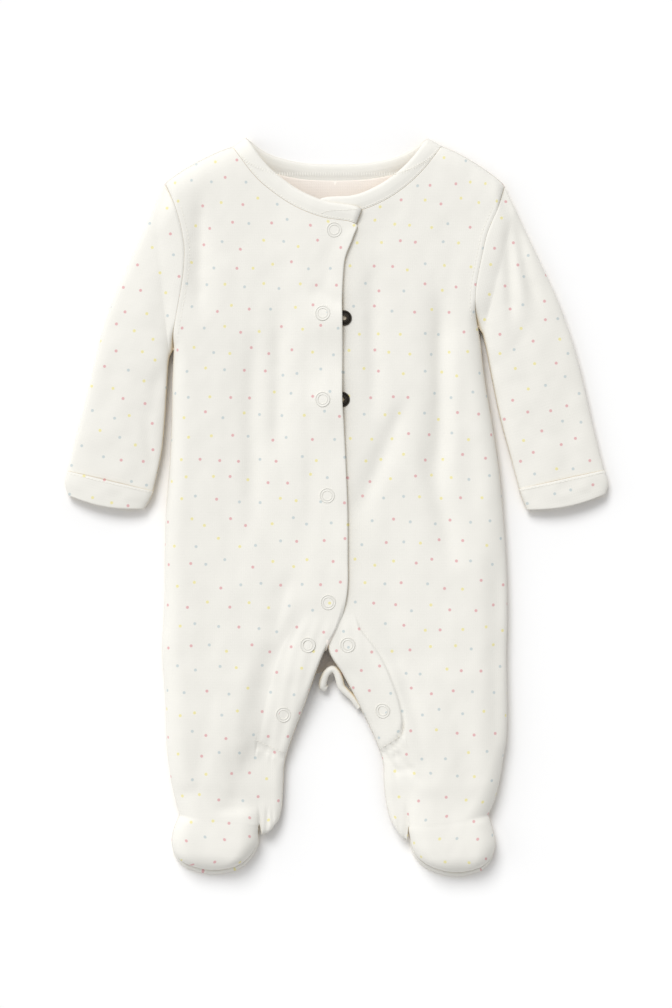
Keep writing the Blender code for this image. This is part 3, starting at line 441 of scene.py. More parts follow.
def plan_ends(row: Section | FootSection) -> tuple[Array, Array]:
    """The side point and the inner edge of a section, in plan."""
    return np.array([row.side_x, row.side_y]), np.array([row.edge_x, row.edge_y])


def spline(rows: Sequence[tuple[float, ...]], v: float) -> Array:
    """The row at place v of a table, smooth through the table's rows.

    Args:
        rows: the table.
        v: a row number, whole or between two rows.

    Returns:
        The row's values.
    """
    table = np.array(rows, float)
    i = min(max(int(math.floor(v)), 0), len(table) - 2)
    t = v - i
    p, q = table[max(i - 1, 0)], table[i]
    r, s = table[i + 1], table[min(i + 2, len(table) - 1)]
    return q + 0.5 * t * (r - p + t * (2 * p - 5 * q + 4 * r - s + t * (3 * (q - r) + s - p)))


def soft_noise(x: Array, y: Array, size: float, seed: int) -> Array:
    """Smooth noise between -1 and 1.

    Args:
        x, y: places, in millimetres.
        size: width of one bump, in millimetres.
        seed: which noise.

    Returns:
        The noise at each place.
    """
    grid = np.random.default_rng(seed).uniform(-1.0, 1.0, (NOISE_CELLS, NOISE_CELLS))
    u, v = np.asarray(x) / size + NOISE_START, np.asarray(y) / size + NOISE_START
    i, j = np.floor(u).astype(int), np.floor(v).astype(int)
    s, t = smooth(u - i), smooth(v - j)

    def row_at(b: Array) -> Array:
        """Value along one row of the grid."""
        near, far = (grid[a % NOISE_CELLS, b % NOISE_CELLS] for a in (i, i + 1))
        return near * (1 - s) + far * s

    return row_at(j) * (1 - t) + row_at(j + 1) * t


def waves_at(waves: Sequence[Wave], x: Array, y: Array) -> Array:
    """Uneven rise and fall of loose cloth at places x, y."""
    return sum(w.height * soft_noise(x, y * w.stretch, w.width, w.seed) for w in waves)


def creases_at(creases: Sequence[Crease], x: Array, y: Array) -> Array:
    """How far the creases press the cloth down.

    Args:
        creases: the creases.
        x, y: places, in millimetres.

    Returns:
        The depth at each place.
    """
    drop = np.zeros(np.shape(x))
    for c in creases:
        run_x, run_y = c.x1 - c.x0, c.y1 - c.y0
        length = math.hypot(run_x, run_y)
        to_x, to_y = x - c.x0, y - c.y0
        along = (to_x * run_x + to_y * run_y) / length**2
        across = (to_x * run_y - to_y * run_x) / length - c.bend * (1 - (2 * along - 1) ** 2)
        width = c.half_width * np.where(across > 0, 1 + c.lean, 1 - c.lean)
        ends = smooth((along + CREASE_PAST) / CREASE_FADE) * smooth((1 + CREASE_PAST - along) / CREASE_FADE)
        drop += c.depth * ends * bell(across, width)
    return drop


def loft_at(y: Array) -> tuple[Array, Array]:
    """Loft in the middle of a front and beside its inner edge, at y."""
    low = LOFTS[::-1]
    i = np.clip(np.searchsorted(low[:, 0], y), 1, len(low) - 1)
    t = smooth((y - low[i - 1, 0]) / (low[i, 0] - low[i - 1, 0]))[..., None]
    both = low[i - 1, 1:] * (1 - t) + low[i, 1:] * t
    return both[..., 0], both[..., 1]


def lap_at(x: Array, y: Array) -> Array:
    """How far the wearer's right front lies above the height that both fronts share."""
    lap = LAP_LIFT * smooth((x - LAP_START) / LAP_RISE)
    beside = smooth((x - SOCKET_LIFT_START) / SOCKET_LIFT_RISE)
    for _, place_y in SOCKET_PLACES:
        lap = lap + SOCKET_LIFT * bell(y - place_y, SOCKET_LIFT_REACH) * beside
    return lap


def link_mesh(name: str, verts: list, faces: list, *finishes: Material, edges: Sequence = ()) -> Object:
    """Make a smooth mesh and put it in the scene.

    Args:
        name: the object's name, and its mesh's.
        verts, faces, edges: the mesh, in metres.
        finishes: its materials.

    Returns:
        The object.
    """
    data = bpy.data.meshes.new(name)
    data.from_pydata(verts, edges, faces)
    data.shade_smooth()
    for finish in finishes:
        data.materials.append(finish)
    obj = bpy.data.objects.new(name, data)
    bpy.context.collection.objects.link(obj)
    return obj


@dataclass
class ClothSurface:
    """Outer surface of one cut piece, gathered row by row, with each point's place on the flat cloth."""

    points: list[Array] = field(default_factory=list)
    flats: list[Array] = field(default_factory=list)
    faces: list[list[int]] = field(default_factory=list)
    found: dict[tuple[float, ...], int] = field(default_factory=dict)
    ground: float = 0.01  # a face that is all below this lies on the ground

    def add(self, point: Array, flat: Array) -> int:
        """Index of a point, shared where two halves meet."""
        key = tuple(round(float(c), 3) for c in point)
        if key not in self.found:
            self.found[key] = len(self.points)
            self.points.append(np.array(point, float))
            self.flats.append(np.array(flat, float))
        return self.found[key]

    def grid(self, rows: list, flats: list, flip: bool, closed: bool = False) -> "ClothSurface":
        """Join rows of points into a sheet.

        Args:
            rows: points of each row, in millimetres.
            flats: the same points' places on the flat cloth.
            flip: turn the faces over.
            closed: join each row's end to its start.

        Returns:
            This surface.
        """
        index = [[self.add(p, f) for p, f in zip(row, flat)] for row, flat in zip(rows, flats)]
        for a, b in zip(index, index[1:]):
            width = min(len(a), len(b))
            for j in range(width if closed else width - 1):
                k = (j + 1) % width
                corners = list(dict.fromkeys([a[j], b[j], b[k], a[k]]))
                if len(corners) > 2:
                    self.faces.append(corners[::-1] if flip else corners)
        return self

    def lay_flat(self) -> None:
        """Turn the faces that lie on the ground so that all of them look down."""
        for i, corners in enumerate(self.faces):
            at = np.array([self.points[c] for c in corners])
            ahead = np.roll(at, -1, axis=0)
            area = float(np.sum(at[:, 0] * ahead[:, 1] - at[:, 1] * ahead[:, 0]))
            if at[:, 2].max() < self.ground and area > 0.0:
                self.faces[i] = corners[::-1]

    def tree(self) -> BVHTree:
        """Search tree over the outer surface, in millimetres."""
        return BVHTree.FromPolygons([Vector(p) for p in self.points], self.faces)

    def shell(self, name: str, thickness: float, outside: Material, reverse: Material) -> Object:
        """One closed thin shell: this surface and an inner one a thickness further in.

        Args:
            name: the piece's name.
            thickness: of the cloth, in millimetres.
            outside: the right side of the cloth.
            reverse: its other side.

        Returns:
            The piece.
        """
        places = (np.array(self.points) - PATTERN_CENTRE) * MM
        obj = link_mesh(name, places.tolist(), self.faces, outside, reverse)
        flat = obj.data.attributes.new("cloth", "FLOAT_VECTOR", "POINT")
        values = np.zeros((len(self.flats), 3))
        values[:, :2] = np.array(self.flats) * MM
        flat.data.foreach_set("vector", values.ravel())
        solid = obj.modifiers.new("thickness", "SOLIDIFY")
        solid.thickness = thickness * MM
        solid.offset = -1.0
        solid.material_offset = 1
        area = sum(f.area for f in obj.data.polygons)
        LOG.info("%s: %d points, %.4f square metres", name, len(self.points), area)
        return obj


@dataclass
class Front:
    """A front with its leg and vamp in one piece."""

    side: Side
    table: list[Section]
    foot: list[FootSection]
    heel_bow: float
    trench: tuple[Sequence[float], Sequence[float]]  # distances below the waist, and how deep
    side_columns: int = 9  # over the rounding at the side
    middle_columns: int = 44
    rows_per_section: int = 7
    rows_per_foot_section: int = 6
    corner_round: float = 5.0  # radius of the inner corner where the leg ends
    corner_rows: float = 0.6
    beside_reach: float = 32.0  # how far out the loft beside the inner edge reaches
    ankle_rows: tuple[float, float] = (2.6, 1.3)  # over which the leg takes the ankle's form: vamp, lobe
    notch_blend: float = 7.0  # width of the change between those two
    seam_dip: float = 0.12  # how far the armhole seam lies below the cloth beside it
    seam_reach: float = 2.2
    seam_ridge: float = 0.1  # the seam allowance shows as a ridge beside the armhole
    ridge_place: float = 1.7
    ridge_width: float = 0.9
    band_step: float = 0.9
    band_share: float = 0.8
    band_top: float = -70.0
    band_top_fade: float = 14.0
    band_end: float = -168.0  # y of the placket's bottom seam at the inner edge
    band_end_fade: float = 1.4
    band_slant: float = 0.4  # how fast that seam rises outwards
    band_corner: float = 0.5  # radius of the placket's lower outer corner
    step_reach: float = 9.0
    trench_width: float = 11.0
    trench_fade: float = 15.0
    trench_turn: float = -158.0  # y below which it turns away from the placket
    trench_slope: float = 0.38
    groove: float = 0.0  # depth of the stitched line beside the placket
    groove_place: float = 0.8
    groove_width: float = 1.1
    end_seam: float = 1.3  # depth of the seam across the placket's lower end
    end_seam_place: float = 1.0
    end_seam_width: float = 1.3
    end_seam_reach: float = 1.5  # how far it runs on past the placket
    seam_fade: float = 2.0
    corner_fade: float = 3.0
    pucker: float = 0.3
    pucker_place: float = 4.0
    pucker_width: float = 3.5
    pucker_turn: float = 1.1  # radians for each millimetre across the placket
    pucker_wander: float = 1.4
    ripple: float = 0.18
    ripple_turn: float = 0.75
    ripple_slant: float = 0.0005
    ripple_fade: float = 3.0
    lap_edge_lift: float = 0.9
    lap_edge_reach: float = 14.0
    vamp_round: float = 12.5
    vamp_share: float = 0.42  # the most of its width that a side's rounding takes
    toe_round: float = 12.5
    notch_height: float = 11.2
    lobe_height: float = 0.8
    heel_rows: float = 1.6  # over which the cloth beside the heel sinks
    heel_peak: float = 0.62  # where it hangs lowest and how soon it ends, as shares of the fold distance
    heel_end: float = 0.22
    heel_reach: float = 5.0  # rounding of the heel's edge along the leg
    heel_fade: float = 4.0
    row_pitch: float = 11.0  # mean distance between the last rows of the table
    toe_bow: float = 3.2
    roll: float = 0.9  # radius of the folded edge that laps over
    roll_step: float = 0.5  # length of one step round it, on the flat cloth
    turned_under: tuple[float, ...] = (1.5, 3.0, 5.0, 7.0)  # how far that edge runs back below
    foot_shares: tuple[float, ...] = (0.0, 0.025, 0.1, 0.22, 0.38, 0.6, 0.79, 0.93, 1.0)
    rows: list[Array] = field(default_factory=list)
    flats: list[Array] = field(default_factory=list)
    places: list[float] = field(default_factory=list)

    def rows_to_ankle(self, v: float) -> float:
        """How many rows of the table place v lies above the ankle."""
        return len(self.table) - 1 - v

    def section(self, v: float) -> Section:
        """The section at place v, with the rounded inner corner of the leg's end."""
        row = Section(*spline(self.table, v))
        t = min(max(1.0 - self.rows_to_ankle(v) / self.corner_rows, 0.0), 1.0)
        inset = self.corner_round * (1.0 - math.sqrt(1.0 - t * t))
        return row._replace(edge_x=row.edge_x + inset * self.side.value, fold=row.fold - inset)

    def columns(self) -> Array:
        """Column places: 0 to 4 over the side rounding, 4 to 8 across to the fold line."""
        rounding = np.linspace(0.0, 4.0, self.side_columns, endpoint=False)
        return np.concatenate([rounding, np.linspace(4.0, 8.0, self.middle_columns)])

    def distances(self, row: Section, length: float) -> Array:
        """Distance of each column from the side, in millimetres."""
        p, reach = self.columns(), length - row.fold
        rounding = row.side_round * (1 - np.cos(np.radians(np.minimum(p, 4.0) * 22.5)))
        across = (reach - row.side_round) * np.clip(p - 4.0, 0.0, 4.0) / 4.0
        return np.concatenate([rounding + across, length - row.fold * INNER_SHARES])

    def loft(self, x: Array, y: Array, height: Array) -> Array:
        """The cloth's height with its folds, creases and the uneven rise and fall of loose cloth.

        Args:
            x, y: places, in millimetres.
            height: the even height there.

        Returns:
            The height at each place.
        """
        small = waves_at(FRONT_WAVES, x, y) - creases_at(SMALL_CREASES, x, y)
        return height - creases_at(MAIN_FOLDS, x, y) + small

    def front_row(self, v: float) -> tuple[Array, Array]:
        """One row from the side to the inner edge.

        Args:
            v: place in the table.

        Returns:
            The row's points and their places on the flat cloth.
        """
        row = self.section(v)
        side, edge = plan_ends(row)
        length = float(np.linalg.norm(edge - side))
        distance = self.distances(row, length)
        share = distance / length
        x, y = (side + np.outer(share, edge - side)).T
        from_edge = length - distance
        middle, beside = loft_at(y)
        loft = middle + (beside - middle) * smooth(1.0 - from_edge / self.beside_reach)
        long, short = (ease(1.0 - self.rows_to_ankle(v) / rows) for rows in self.ankle_rows)
        end = short + (long - short) * smooth((from_edge - row.fold) / self.notch_blend)
        loft = self.loft(x, y, loft + (self.ankle_loft(middle, from_edge, row.fold) - loft) * end)
        loft = SHOULDER_HEIGHT + (loft - SHOULDER_HEIGHT) * self.shoulder(x, y)
        sewn = ease(v / SHOULDER_ROWS) * ease((UNDERARM_ROW - v) / UNDERARM_ROWS)
        side_z = row.side_z + (float(loft[0]) - self.seam_dip - row.side_z) * sewn
        side_round = row.side_round + (self.seam_reach - row.side_round) * sewn
        base = side_z + (row.edge_z - side_z) * share
        rise = quarter_round(distance, side_round) * self.heel_rise(v, row, from_edge)
        if row.edge_round > 0.01:
            rise = rise * quarter_round(from_edge, row.edge_round)
        z = base + (loft - base) * rise + self.band(y, from_edge / row.fold, from_edge)
        z = z + self.seam_ridge * sewn * bell(distance - self.ridge_place, self.ridge_width)
        if self.side is Side.RIGHT:
            z = z + lap_at(x, y) + self.edge_lift(v, from_edge)
        shift = self.shoulder_shift(side, edge, share, v)
        drop = self.heel_drop(v, from_edge, row.fold)
        points = np.column_stack([x + shift[:, 0], y + shift[:, 1] - drop, z])
        return points, self.flat_places(points)

    def flat_places(self, points: Array) -> Array:
        """Places on the flat cloth: lengths along the row, true at the lengthwise fold."""
        anchor, run = self.columns().size - 1, run_along(points)
        return np.column_stack([points[anchor, 0] - self.side.value * (run - run[anchor]), points[:, 1]])

    def shoulder(self, x: Array, y: Array) -> Array:
        """Share of the full loft near the shoulder seam."""
        side, edge = plan_ends(self.table[0])
        run = (edge - side) / np.linalg.norm(edge - side)
        away = np.abs((x - side[0]) * run[1] - (y - side[1]) * run[0])
        return quarter_round(away, SHOULDER_ROUND)

    def shoulder_shift(self, side: Array, edge: Array, share: Array, v: float) -> Array:
        """How far points by the shoulder move for the bow of its seam."""
        run = (edge - side) / np.linalg.norm(edge - side)
        up = np.array([-run[1], run[0]])
        up = -up if up[1] < 0 else up
        amount = SHOULDER_BOW * (1.0 - ease(v / 1.5))
        return np.outer(amount * np.sqrt(np.sin(math.pi * np.clip(share, 0, 1)).clip(0.0)), up)

    def heel_drop(self, v: float, from_edge: Array, fold: float) -> Array:
        """How far the cloth beside the heel hangs past the ankle row."""
        near = ease(1.0 - self.rows_to_ankle(v) / self.heel_rows) ** 2
        share = np.clip(from_edge / fold, 0.0, 1.0)
        bow = np.sin(math.pi / 2 * np.minimum(share / self.heel_peak, 1.0))
        return near * self.heel_bow * bow * smooth((1.0 - share) / self.heel_end)

    def ankle_loft(self, middle: Array, from_edge: Array, fold: float) -> Array:
        """Loft across the end of the leg: rounded down to the notch, with a low lobe beside the heel."""
        notch = self.notch_height
        vamp = notch + (middle - notch) * quarter_round(from_edge - fold, self.vamp_round)
        lobe = notch + self.lobe_height * np.sin(math.pi * np.clip(from_edge / fold, 0.0, 1.0))
        return np.where(from_edge > fold, vamp, lobe)

    def heel_rise(self, v: float, row: Section, from_edge: Array) -> Array:
        """Height share of the leg where it rounds down to the heel's edge, inside the vamp."""
        inner = smooth((row.fold - from_edge) / self.heel_fade)
        return 1.0 - inner * (1.0 - quarter_round(self.rows_to_ankle(v) * self.row_pitch, self.heel_reach))

    def edge_lift(self, v: float, from_edge: Array) -> Array:
        """How far the lapping edge curls up off the front beneath."""
        ends = ease(v - CORNER_ROW) * ease((CROTCH_ROW - v) / 3.0)
        return self.lap_edge_lift * ends * (1.0 - smooth(from_edge / self.lap_edge_reach))

    def band_reach(self) -> float:
        """The placket's width at its bottom seam."""
        below = min(self.table, key=lambda row: abs(row.edge_y - self.band_end - self.row_pitch))
        return self.band_share * below.fold

    def band(self, y: Array, share: Array, from_edge: Array) -> Array:
        """Rise of the stitched leg placket, and the drop of the leg towards it.

        Args:
            y: places along the leg.
            share: distance from the inner edge, as a share of the fold distance.
            from_edge: the same distance in millimetres.

        Returns:
            The rise at each place.
        """
        above = y - (self.band_end + self.band_slant * from_edge)
        ends = smooth(np.minimum(above / self.band_end_fade, (self.band_top - y) / self.band_top_fade))
        outside = from_edge * (1.0 - self.band_share / np.maximum(share, 1e-3))
        corner = self.band_corner
        in_corner = (outside > -corner) & (above < corner)
        to_corner = corner - np.hypot(outside + corner, above - corner)
        inside = np.where(in_corner, to_corner, np.minimum(-outside, above))
        step = self.band_step * smooth(inside / self.step_reach)
        groove = self.groove * bell(inside + self.groove_place, self.groove_width)
        within = smooth((self.end_seam_reach - outside) / self.seam_fade)
        near_end = smooth((corner + self.seam_fade - above) / self.corner_fade)
        seam = self.end_seam * bell(inside + self.end_seam_place, self.end_seam_width) * within * near_end
        wander = self.pucker_wander * np.sin(from_edge * 0.5 - 0.25 * above)
        wave = np.sin(from_edge * self.pucker_turn + wander)
        pucker = self.pucker * wave * bell(above + self.pucker_place, self.pucker_width) * within
        ripple = self.ripple * np.sin(from_edge * self.ripple_turn + self.ripple_slant * y * y)
        ripple = ripple * smooth(-outside / self.ripple_fade)
        off = outside - self.trench_slope * np.maximum(self.trench_turn - y, 0.0)
        slope = bell(off, np.where(off > 0.0, self.trench_width, self.trench_fade))
        return ends * (step - groove + ripple) - seam + pucker - np.interp(-y, *self.trench) * slope

    def foot_row(self, v: float, ankle_points: Array) -> Array:
        """One row of the vamp from its outer to its inner side.

        Args:
            v: place in the foot table, 0 at the ankle row.
            ankle_points: the ankle row's points on the same columns.

        Returns:
            The row's points.
        """
        ankle = self.section(len(self.table) - 1)
        side, edge = plan_ends(ankle)
        length = float(np.linalg.norm(edge - side))
        notch = edge + (side - edge) * ankle.fold / length
        rows = [FootSection(*side, ankle.side_z, *notch, self.notch_height)] + self.foot
        row, toe = FootSection(*spline(rows, v)), rows[-1]
        p = self.columns()
        foot_share = np.interp(p, np.arange(len(self.foot_shares)), self.foot_shares)
        start = self.distances(ankle, length)[: p.size]
        blend, even = ease(v), ease(v / 3.0)
        share = start / start[-1] * (1 - even) + foot_share * even

        def place(section: FootSection, sag: float) -> Array:
            """Places across one section, in plan."""
            a, b = plan_ends(section)
            across = a + np.outer(share, b - a)
            across[:, 1] -= sag * np.sin(math.pi * share)
            return across

        at = place(row, self.toe_bow * ease(v / (len(rows) - 1)) ** 2)
        width = abs(row.edge_x - row.side_x)
        reach = min(self.vamp_round, self.vamp_share * width)
        rise = quarter_round(share * width, reach) * quarter_round((1.0 - share) * width, reach)
        rise = rise * quarter_round(np.linalg.norm(at - place(toe, self.toe_bow), axis=1), self.toe_round)
        base = row.side_z + (row.edge_z - row.side_z) * share
        x, y = at.T
        z = base + (self.loft(x, y, loft_at(y)[0]) - base) * rise
        return np.column_stack([x, y, ankle_points[:, 2] * (1 - blend) + z * blend])

    def build(self) -> ClothSurface:
        """The front's outer surface."""
        last = len(self.table) - 1
        self.places = list(np.linspace(0.0, last, last * self.rows_per_section + 1))
        made = [self.front_row(v) for v in self.places]
        self.rows, self.flats = [m[0] for m in made], [m[1] for m in made]
        ankle = self.rows[-1][: self.columns().size]
        steps = len(self.foot) * self.rows_per_foot_section
        for v in (np.arange(steps) + 1) / steps * len(self.foot):
            self.rows.append(self.foot_row(float(v), ankle))
            self.flats.append(self.flat_places(self.rows[-1]))
        if self.side is Side.RIGHT:
            self.add_fold_over()
        return ClothSurface().grid(self.rows, self.flats, flip=self.side is Side.LEFT)

    def add_fold_over(self) -> None:
        """Turn the lapping edge under, from the neckline corner to the crotch."""
        angles = np.radians(np.arange(36, 181, 36))
        reach = np.cumsum([self.roll_step] * angles.size + list(np.diff([0.0, *self.turned_under])))
        first, last = (row * self.rows_per_section for row in (CORNER_ROW, CROTCH_ROW))
        for i in range(first, last + 1):
            edge, before = self.rows[i][-1], self.rows[i][-2]
            out = (edge - before) * [1, 1, 0]
            out /= np.linalg.norm(out)
            fade = ease(min((i - first + 1) / 3.0, (last - i + 1) / 9.0))
            radius = self.roll * fade
            turned = [edge + radius * (out * math.sin(a) - [0, 0, 1 - math.cos(a)]) for a in angles]
            away = np.linalg.norm((self.rows[i] - edge)[:, :2], axis=1)[::-1]
            for back in self.turned_under:
                above = np.interp(back * fade, away, self.rows[i][::-1, 2])
                turned.append(np.array([*(edge - out * back * fade)[:2], above - 2 * radius]))
            self.flats[i] = np.vstack([self.flats[i], self.flats[i][-1] + np.outer(reach, [1.0, 0.0])])
            self.rows[i] = np.vstack([self.rows[i], turned])

    def line(self, edge: Edge) -> Array:
        """One of the panel's edges, from its top or outer end."""
        per, ankle = self.rows_per_section, len(self.places) - 1
        corner_column = self.columns().size + INNER_SHARES.size - 1
        if edge is Edge.TOE:
            return self.rows[-1][1:-1]
        rows, column = {
            Edge.ARMHOLE: (self.rows[: UNDERARM_ROW * per + 1], 0),
            Edge.NECKLINE: (self.rows[: CORNER_ROW * per + 1], corner_column),
            Edge.VAMP_OUTER: (self.rows[ankle:], 0),
            Edge.VAMP_INNER: (self.rows[ankle + 1 :], -1),
        }[edge]
        return np.array([row[column] for row in rows])


@dataclass
class Back:
    """Back panel: two halves joined above the crotch, with a leg on each below it."""

    right: Front
    left: Front
    neck_top: float = 221.4
    crotch: tuple[float, float] = (-2.0, -109.0)
    leg_inset: float = 1.6
    edge_height: float = 2.4
    edge_rows: float = 2.0  # over which the legs' inner edges rise
    edge_round: float = 9.0
    side_columns: int = 8
    middle_columns: int = 26
    inner_columns: int = 6
    necklines: dict[Side, Array] = field(default_factory=dict)
    armholes: dict[Side, Array] = field(default_factory=dict)
    heels: dict[Side, Array] = field(default_factory=dict)

    def shoulder_height(self, v: float) -> float:
        """Height of the back near the shoulder seam."""
        return SHOULDER_HEIGHT * (1.0 - float(quarter_round(v, SHOULDER_ROWS)))

    def inner_end(self, front: Front, v: float) -> Array:
        """Inner end of one row of a half.

        Args:
            front: the front that this half meets.
            v: place in the front's table.

        Returns:
            The end's place and height.
        """
        if v <= NECK_ROWS:
            return np.array([*spline(BACK_NECKS[front.side], v), self.shoulder_height(v)])
        if v <= CROTCH_ROW:
            t = (v - NECK_ROWS) / (CROTCH_ROW - NECK_ROWS)
            x = self.crotch[0] * ease(t)
            return np.array([x, self.neck_top + (self.crotch[1] - self.neck_top) * t, 0.0])
        if v < CROTCH_ROW + 1:
            t = v - CROTCH_ROW
            return self.inner_end(front, CROTCH_ROW) * (1 - t) + self.inner_end(front, CROTCH_ROW + 1) * t
        row = front.section(v)
        height = self.edge_height * ease((v - CROTCH_ROW - 1) / self.edge_rows)
        return np.array([row.edge_x + front.side.value * self.leg_inset, row.edge_y, height])

    def half_row(self, front: Front, v: float) -> Array:
        """One row of a half's underside, from its side to its inner end."""
        row = front.section(v)
        side, end = plan_ends(row)[0], self.inner_end(front, v)
        length = float(np.linalg.norm(end[:2] - side))
        side_z = row.side_z
        if 0.0 < v < UNDERARM_ROW:
            full = SHOULDER_HEIGHT if v < NECK_ROWS else front.table[UNDERARM_ROW].side_z
            from_seams = min(v / SHOULDER_ROWS, (UNDERARM_ROW - v) / UNDERARM_ROWS)
            side_z = full * (1.0 - float(quarter_round(from_seams, 1.0)))
        turn = np.linspace(0, math.pi / 2, self.side_columns, endpoint=False)
        middle = np.linspace(row.side_round, length - self.edge_round, self.middle_columns)
        inner = length - self.edge_round * np.linspace(1, 0, self.inner_columns + 1)[1:]
        distance = np.concatenate([row.side_round * (1 - np.cos(turn)), middle, inner])
        x, y = (side + np.outer(distance / length, end[:2] - side)).T
        curl = side_z * (1.0 - quarter_round(distance, row.side_round))
        curl = curl + end[2] * (1.0 - quarter_round(length - distance, self.edge_round))
        curl = np.maximum(np.maximum(curl, self.shoulder_height(v)), 0.0)
        shift = front.shoulder_shift(side, end[:2], distance / length, v)
        return np.column_stack([x + shift[:, 0], y + shift[:, 1], curl])

    def build(self) -> ClothSurface:
        """The back panel's outer surface, which is its underside."""
        surface = ClothSurface()
        for front in (self.right, self.left):
            per = front.rows_per_section
            rows = [self.half_row(front, v) for v in front.places]
            for row in rows[UNDERARM_ROW * per :]:
                row[0, 2] -= HAIR
            surface.grid(rows, [row[:, :2] for row in rows], flip=front.side is Side.RIGHT)
            self.necklines[front.side] = np.array([row[-1] for row in rows[: NECK_ROWS * per + 1]])
            self.armholes[front.side] = np.array([row[0] for row in rows[: UNDERARM_ROW * per + 1]])
            self.heels[front.side] = rows[-1]
        return surface


@dataclass(kw_only=True)
class Tube:
    """A flattened ring of cloth with two side folds, flat below."""

    side: Side
    table: list[Ring]
    edge_height: float = 4.6
    fullness: float = 0.62
    steps: int = 88

    def angles(self) -> Array:
        """Angles from the inner fold, under the tube to the outer fold, and back over its top."""
        return -math.pi + 2 * math.pi * np.arange(self.steps) / self.steps

    def shares(self) -> Array:
        """Place of each angle across the tube, 0 at the outer fold."""
        return (1.0 - np.cos(self.angles())) / 2

    def upper(self, power: float) -> Array:
        """Share of a rise at each angle: full in the middle of the top, none at the folds and below."""
        return np.clip(np.sin(self.angles()), 0.0, 1.0) ** power

    def ring(self, ring: Ring, bow: float = 0.0, shrink: float = 0.0) -> Array:
        """Points of one ring.

        Args:
            ring: its section.
            bow: how far its middle bows down past its corners.
            shrink: how far in from the section it lies, all round.

        Returns:
            The points.
        """
        outer, inner = np.array([ring.outer_x, ring.outer_y]), np.array([ring.inner_x, ring.inner_y])
        run = (inner - outer) / np.linalg.norm(inner - outer)
        down = np.array([-run[1], run[0]])
        down = -down if down[1] > 0 else down
        outer, inner = outer + run * shrink, inner - run * shrink
        angle, share = self.angles(), self.shares()
        at = outer + np.outer(share, inner - outer) + np.outer(bow * np.sin(math.pi * share), down)
        swell = np.abs(np.sin(angle)) ** self.fullness
        top = self.edge_height + (ring.height - shrink - self.edge_height) * swell
        bottom = np.maximum(self.edge_height * (1.0 - swell), 0.0) + shrink * swell
        return np.column_stack([at, np.where(np.sin(angle) >= 0, top, bottom)])

    def ring_at(self, v: float, bow: float = 0.0) -> Array:
        """Points of the ring at place v of the table."""
        return self.ring(Ring(*spline(self.table, v)), bow=bow)

    def wrap(self, rows: list[Array], across: Array, down: Array) -> ClothSurface:
        """Join rings to a surface, with the underside unfolded past the outer fold on the flat cloth.

        Args:
            rows: the rings.
            across, down: directions on the flat cloth, in plan.

        Returns:
            The surface.
        """
        flats = []
        for row in rows:
            u, v = row[:, :2] @ across, row[:, :2] @ down
            outer_u = u[self.steps // 2]
            flats.append(np.column_stack([np.where(np.sin(self.angles()) >= 0, u, 2 * outer_u - u), v]))
        return ClothSurface().grid(rows, flats, flip=self.side is Side.LEFT, closed=True)


@dataclass(kw_only=True)
class Sleeve(Tube):
    """Sleeve from its armhole to its cuff."""

    creases: list[Crease]
    rows_per_ring: int = 7
    armhole_rows: int = 8
    armhole_swell: float = 0.6
    seam_clear: tuple[float, float] = (0.12, -0.05)  # how far the seam stands off the panels, out and up
    seam_rows: float = 6.0  # over which the creases set in
    fullness: float = 0.5
    tucks: tuple[tuple[float, float], ...] = ((1.1, 0.98), (0.05, 0.93), (0.0, 0.3))  # under the panels
    into_cuff: float = 2.2
    cuff_shrink: float = 0.4

    def axes(self) -> tuple[Array, Array]:
        """Directions across and down the sleeve, in plan."""
        first, last = (np.array(self.table[i], float) for i in (0, -1))
        run = (last[:2] + last[2:4]) / 2 - (first[:2] + first[2:4]) / 2
        down = run / np.linalg.norm(run)
        return np.array([-down[1], down[0]]), down

    def armhole(self, front: Front, back: Back) -> Array:
        """The first ring, on the armhole of the front and back panels."""
        over, under = front.line(Edge.ARMHOLE), back.armholes[self.side]
        ring = []
        for angle, share in zip(self.angles(), self.shares()):
            at = along_line(over if math.sin(angle) >= 0 else under, float(share))
            if share < TINY or share > 1 - TINY:
                at[2] = SHOULDER_HEIGHT if share < 0.5 else over[-1][2]
            ring.append([at[0], at[1], max(at[2], 0.0)])
        return np.array(ring)

    def tucked(self, first: Array) -> list[Array]:
        """Rows that run in under the panels' edges and back out to the seam."""
        rows = []
        across, swing = self.axes()[0], np.sin(self.angles())
        inwards = -np.array([*across, 0.0]) * np.sign(across[0]) * self.side.value
        for reach, depth in self.tucks:
            row = first + inwards * reach
            row[:, 2] = np.maximum(row[:, 2] - np.sign(swing) * np.abs(swing) ** 0.3 * depth, 0.0)
            rows.append(row)
        return rows

    def build(self, front: Front, back: Back) -> ClothSurface:
        """The sleeve's outer surface."""
        first, second = self.armhole(front, back), self.ring(self.table[0])
        rows = [first * (1 - t) + second * t for t in np.arange(self.armhole_rows) / self.armhole_rows]
        rows[0] = rows[0] + [self.side.value * self.seam_clear[0], 0.0, self.seam_clear[1]]
        rows[0][:, 2] = np.maximum(rows[0][:, 2], 0.0)
        top = np.sin(self.angles()) > 0.05
        for i, row in enumerate(rows[1:], 1):
            swell = self.armhole_swell * math.sin(math.pi * i / self.armhole_rows)
            row[top, 2] += swell * self.upper(0.5)[top]
        count = (len(self.table) - 1) * self.rows_per_ring
        rows += [self.ring_at(i / self.rows_per_ring) for i in range(count + 1)]
        for i, row in enumerate(rows):
            x, y = row[:, 0], row[:, 1]
            relief = waves_at(SLEEVE_WAVES, x, y) - creases_at(self.creases, x, y)
            row[:, 2] += self.upper(0.4) * ease(i / self.seam_rows) * relief
        across, down = self.axes()
        last = self.ring(self.table[-1], shrink=self.cuff_shrink)
        rows.append(last + np.array([*down, 0.0]) * self.into_cuff)
        return self.wrap(self.tucked(first) + rows, across, down)


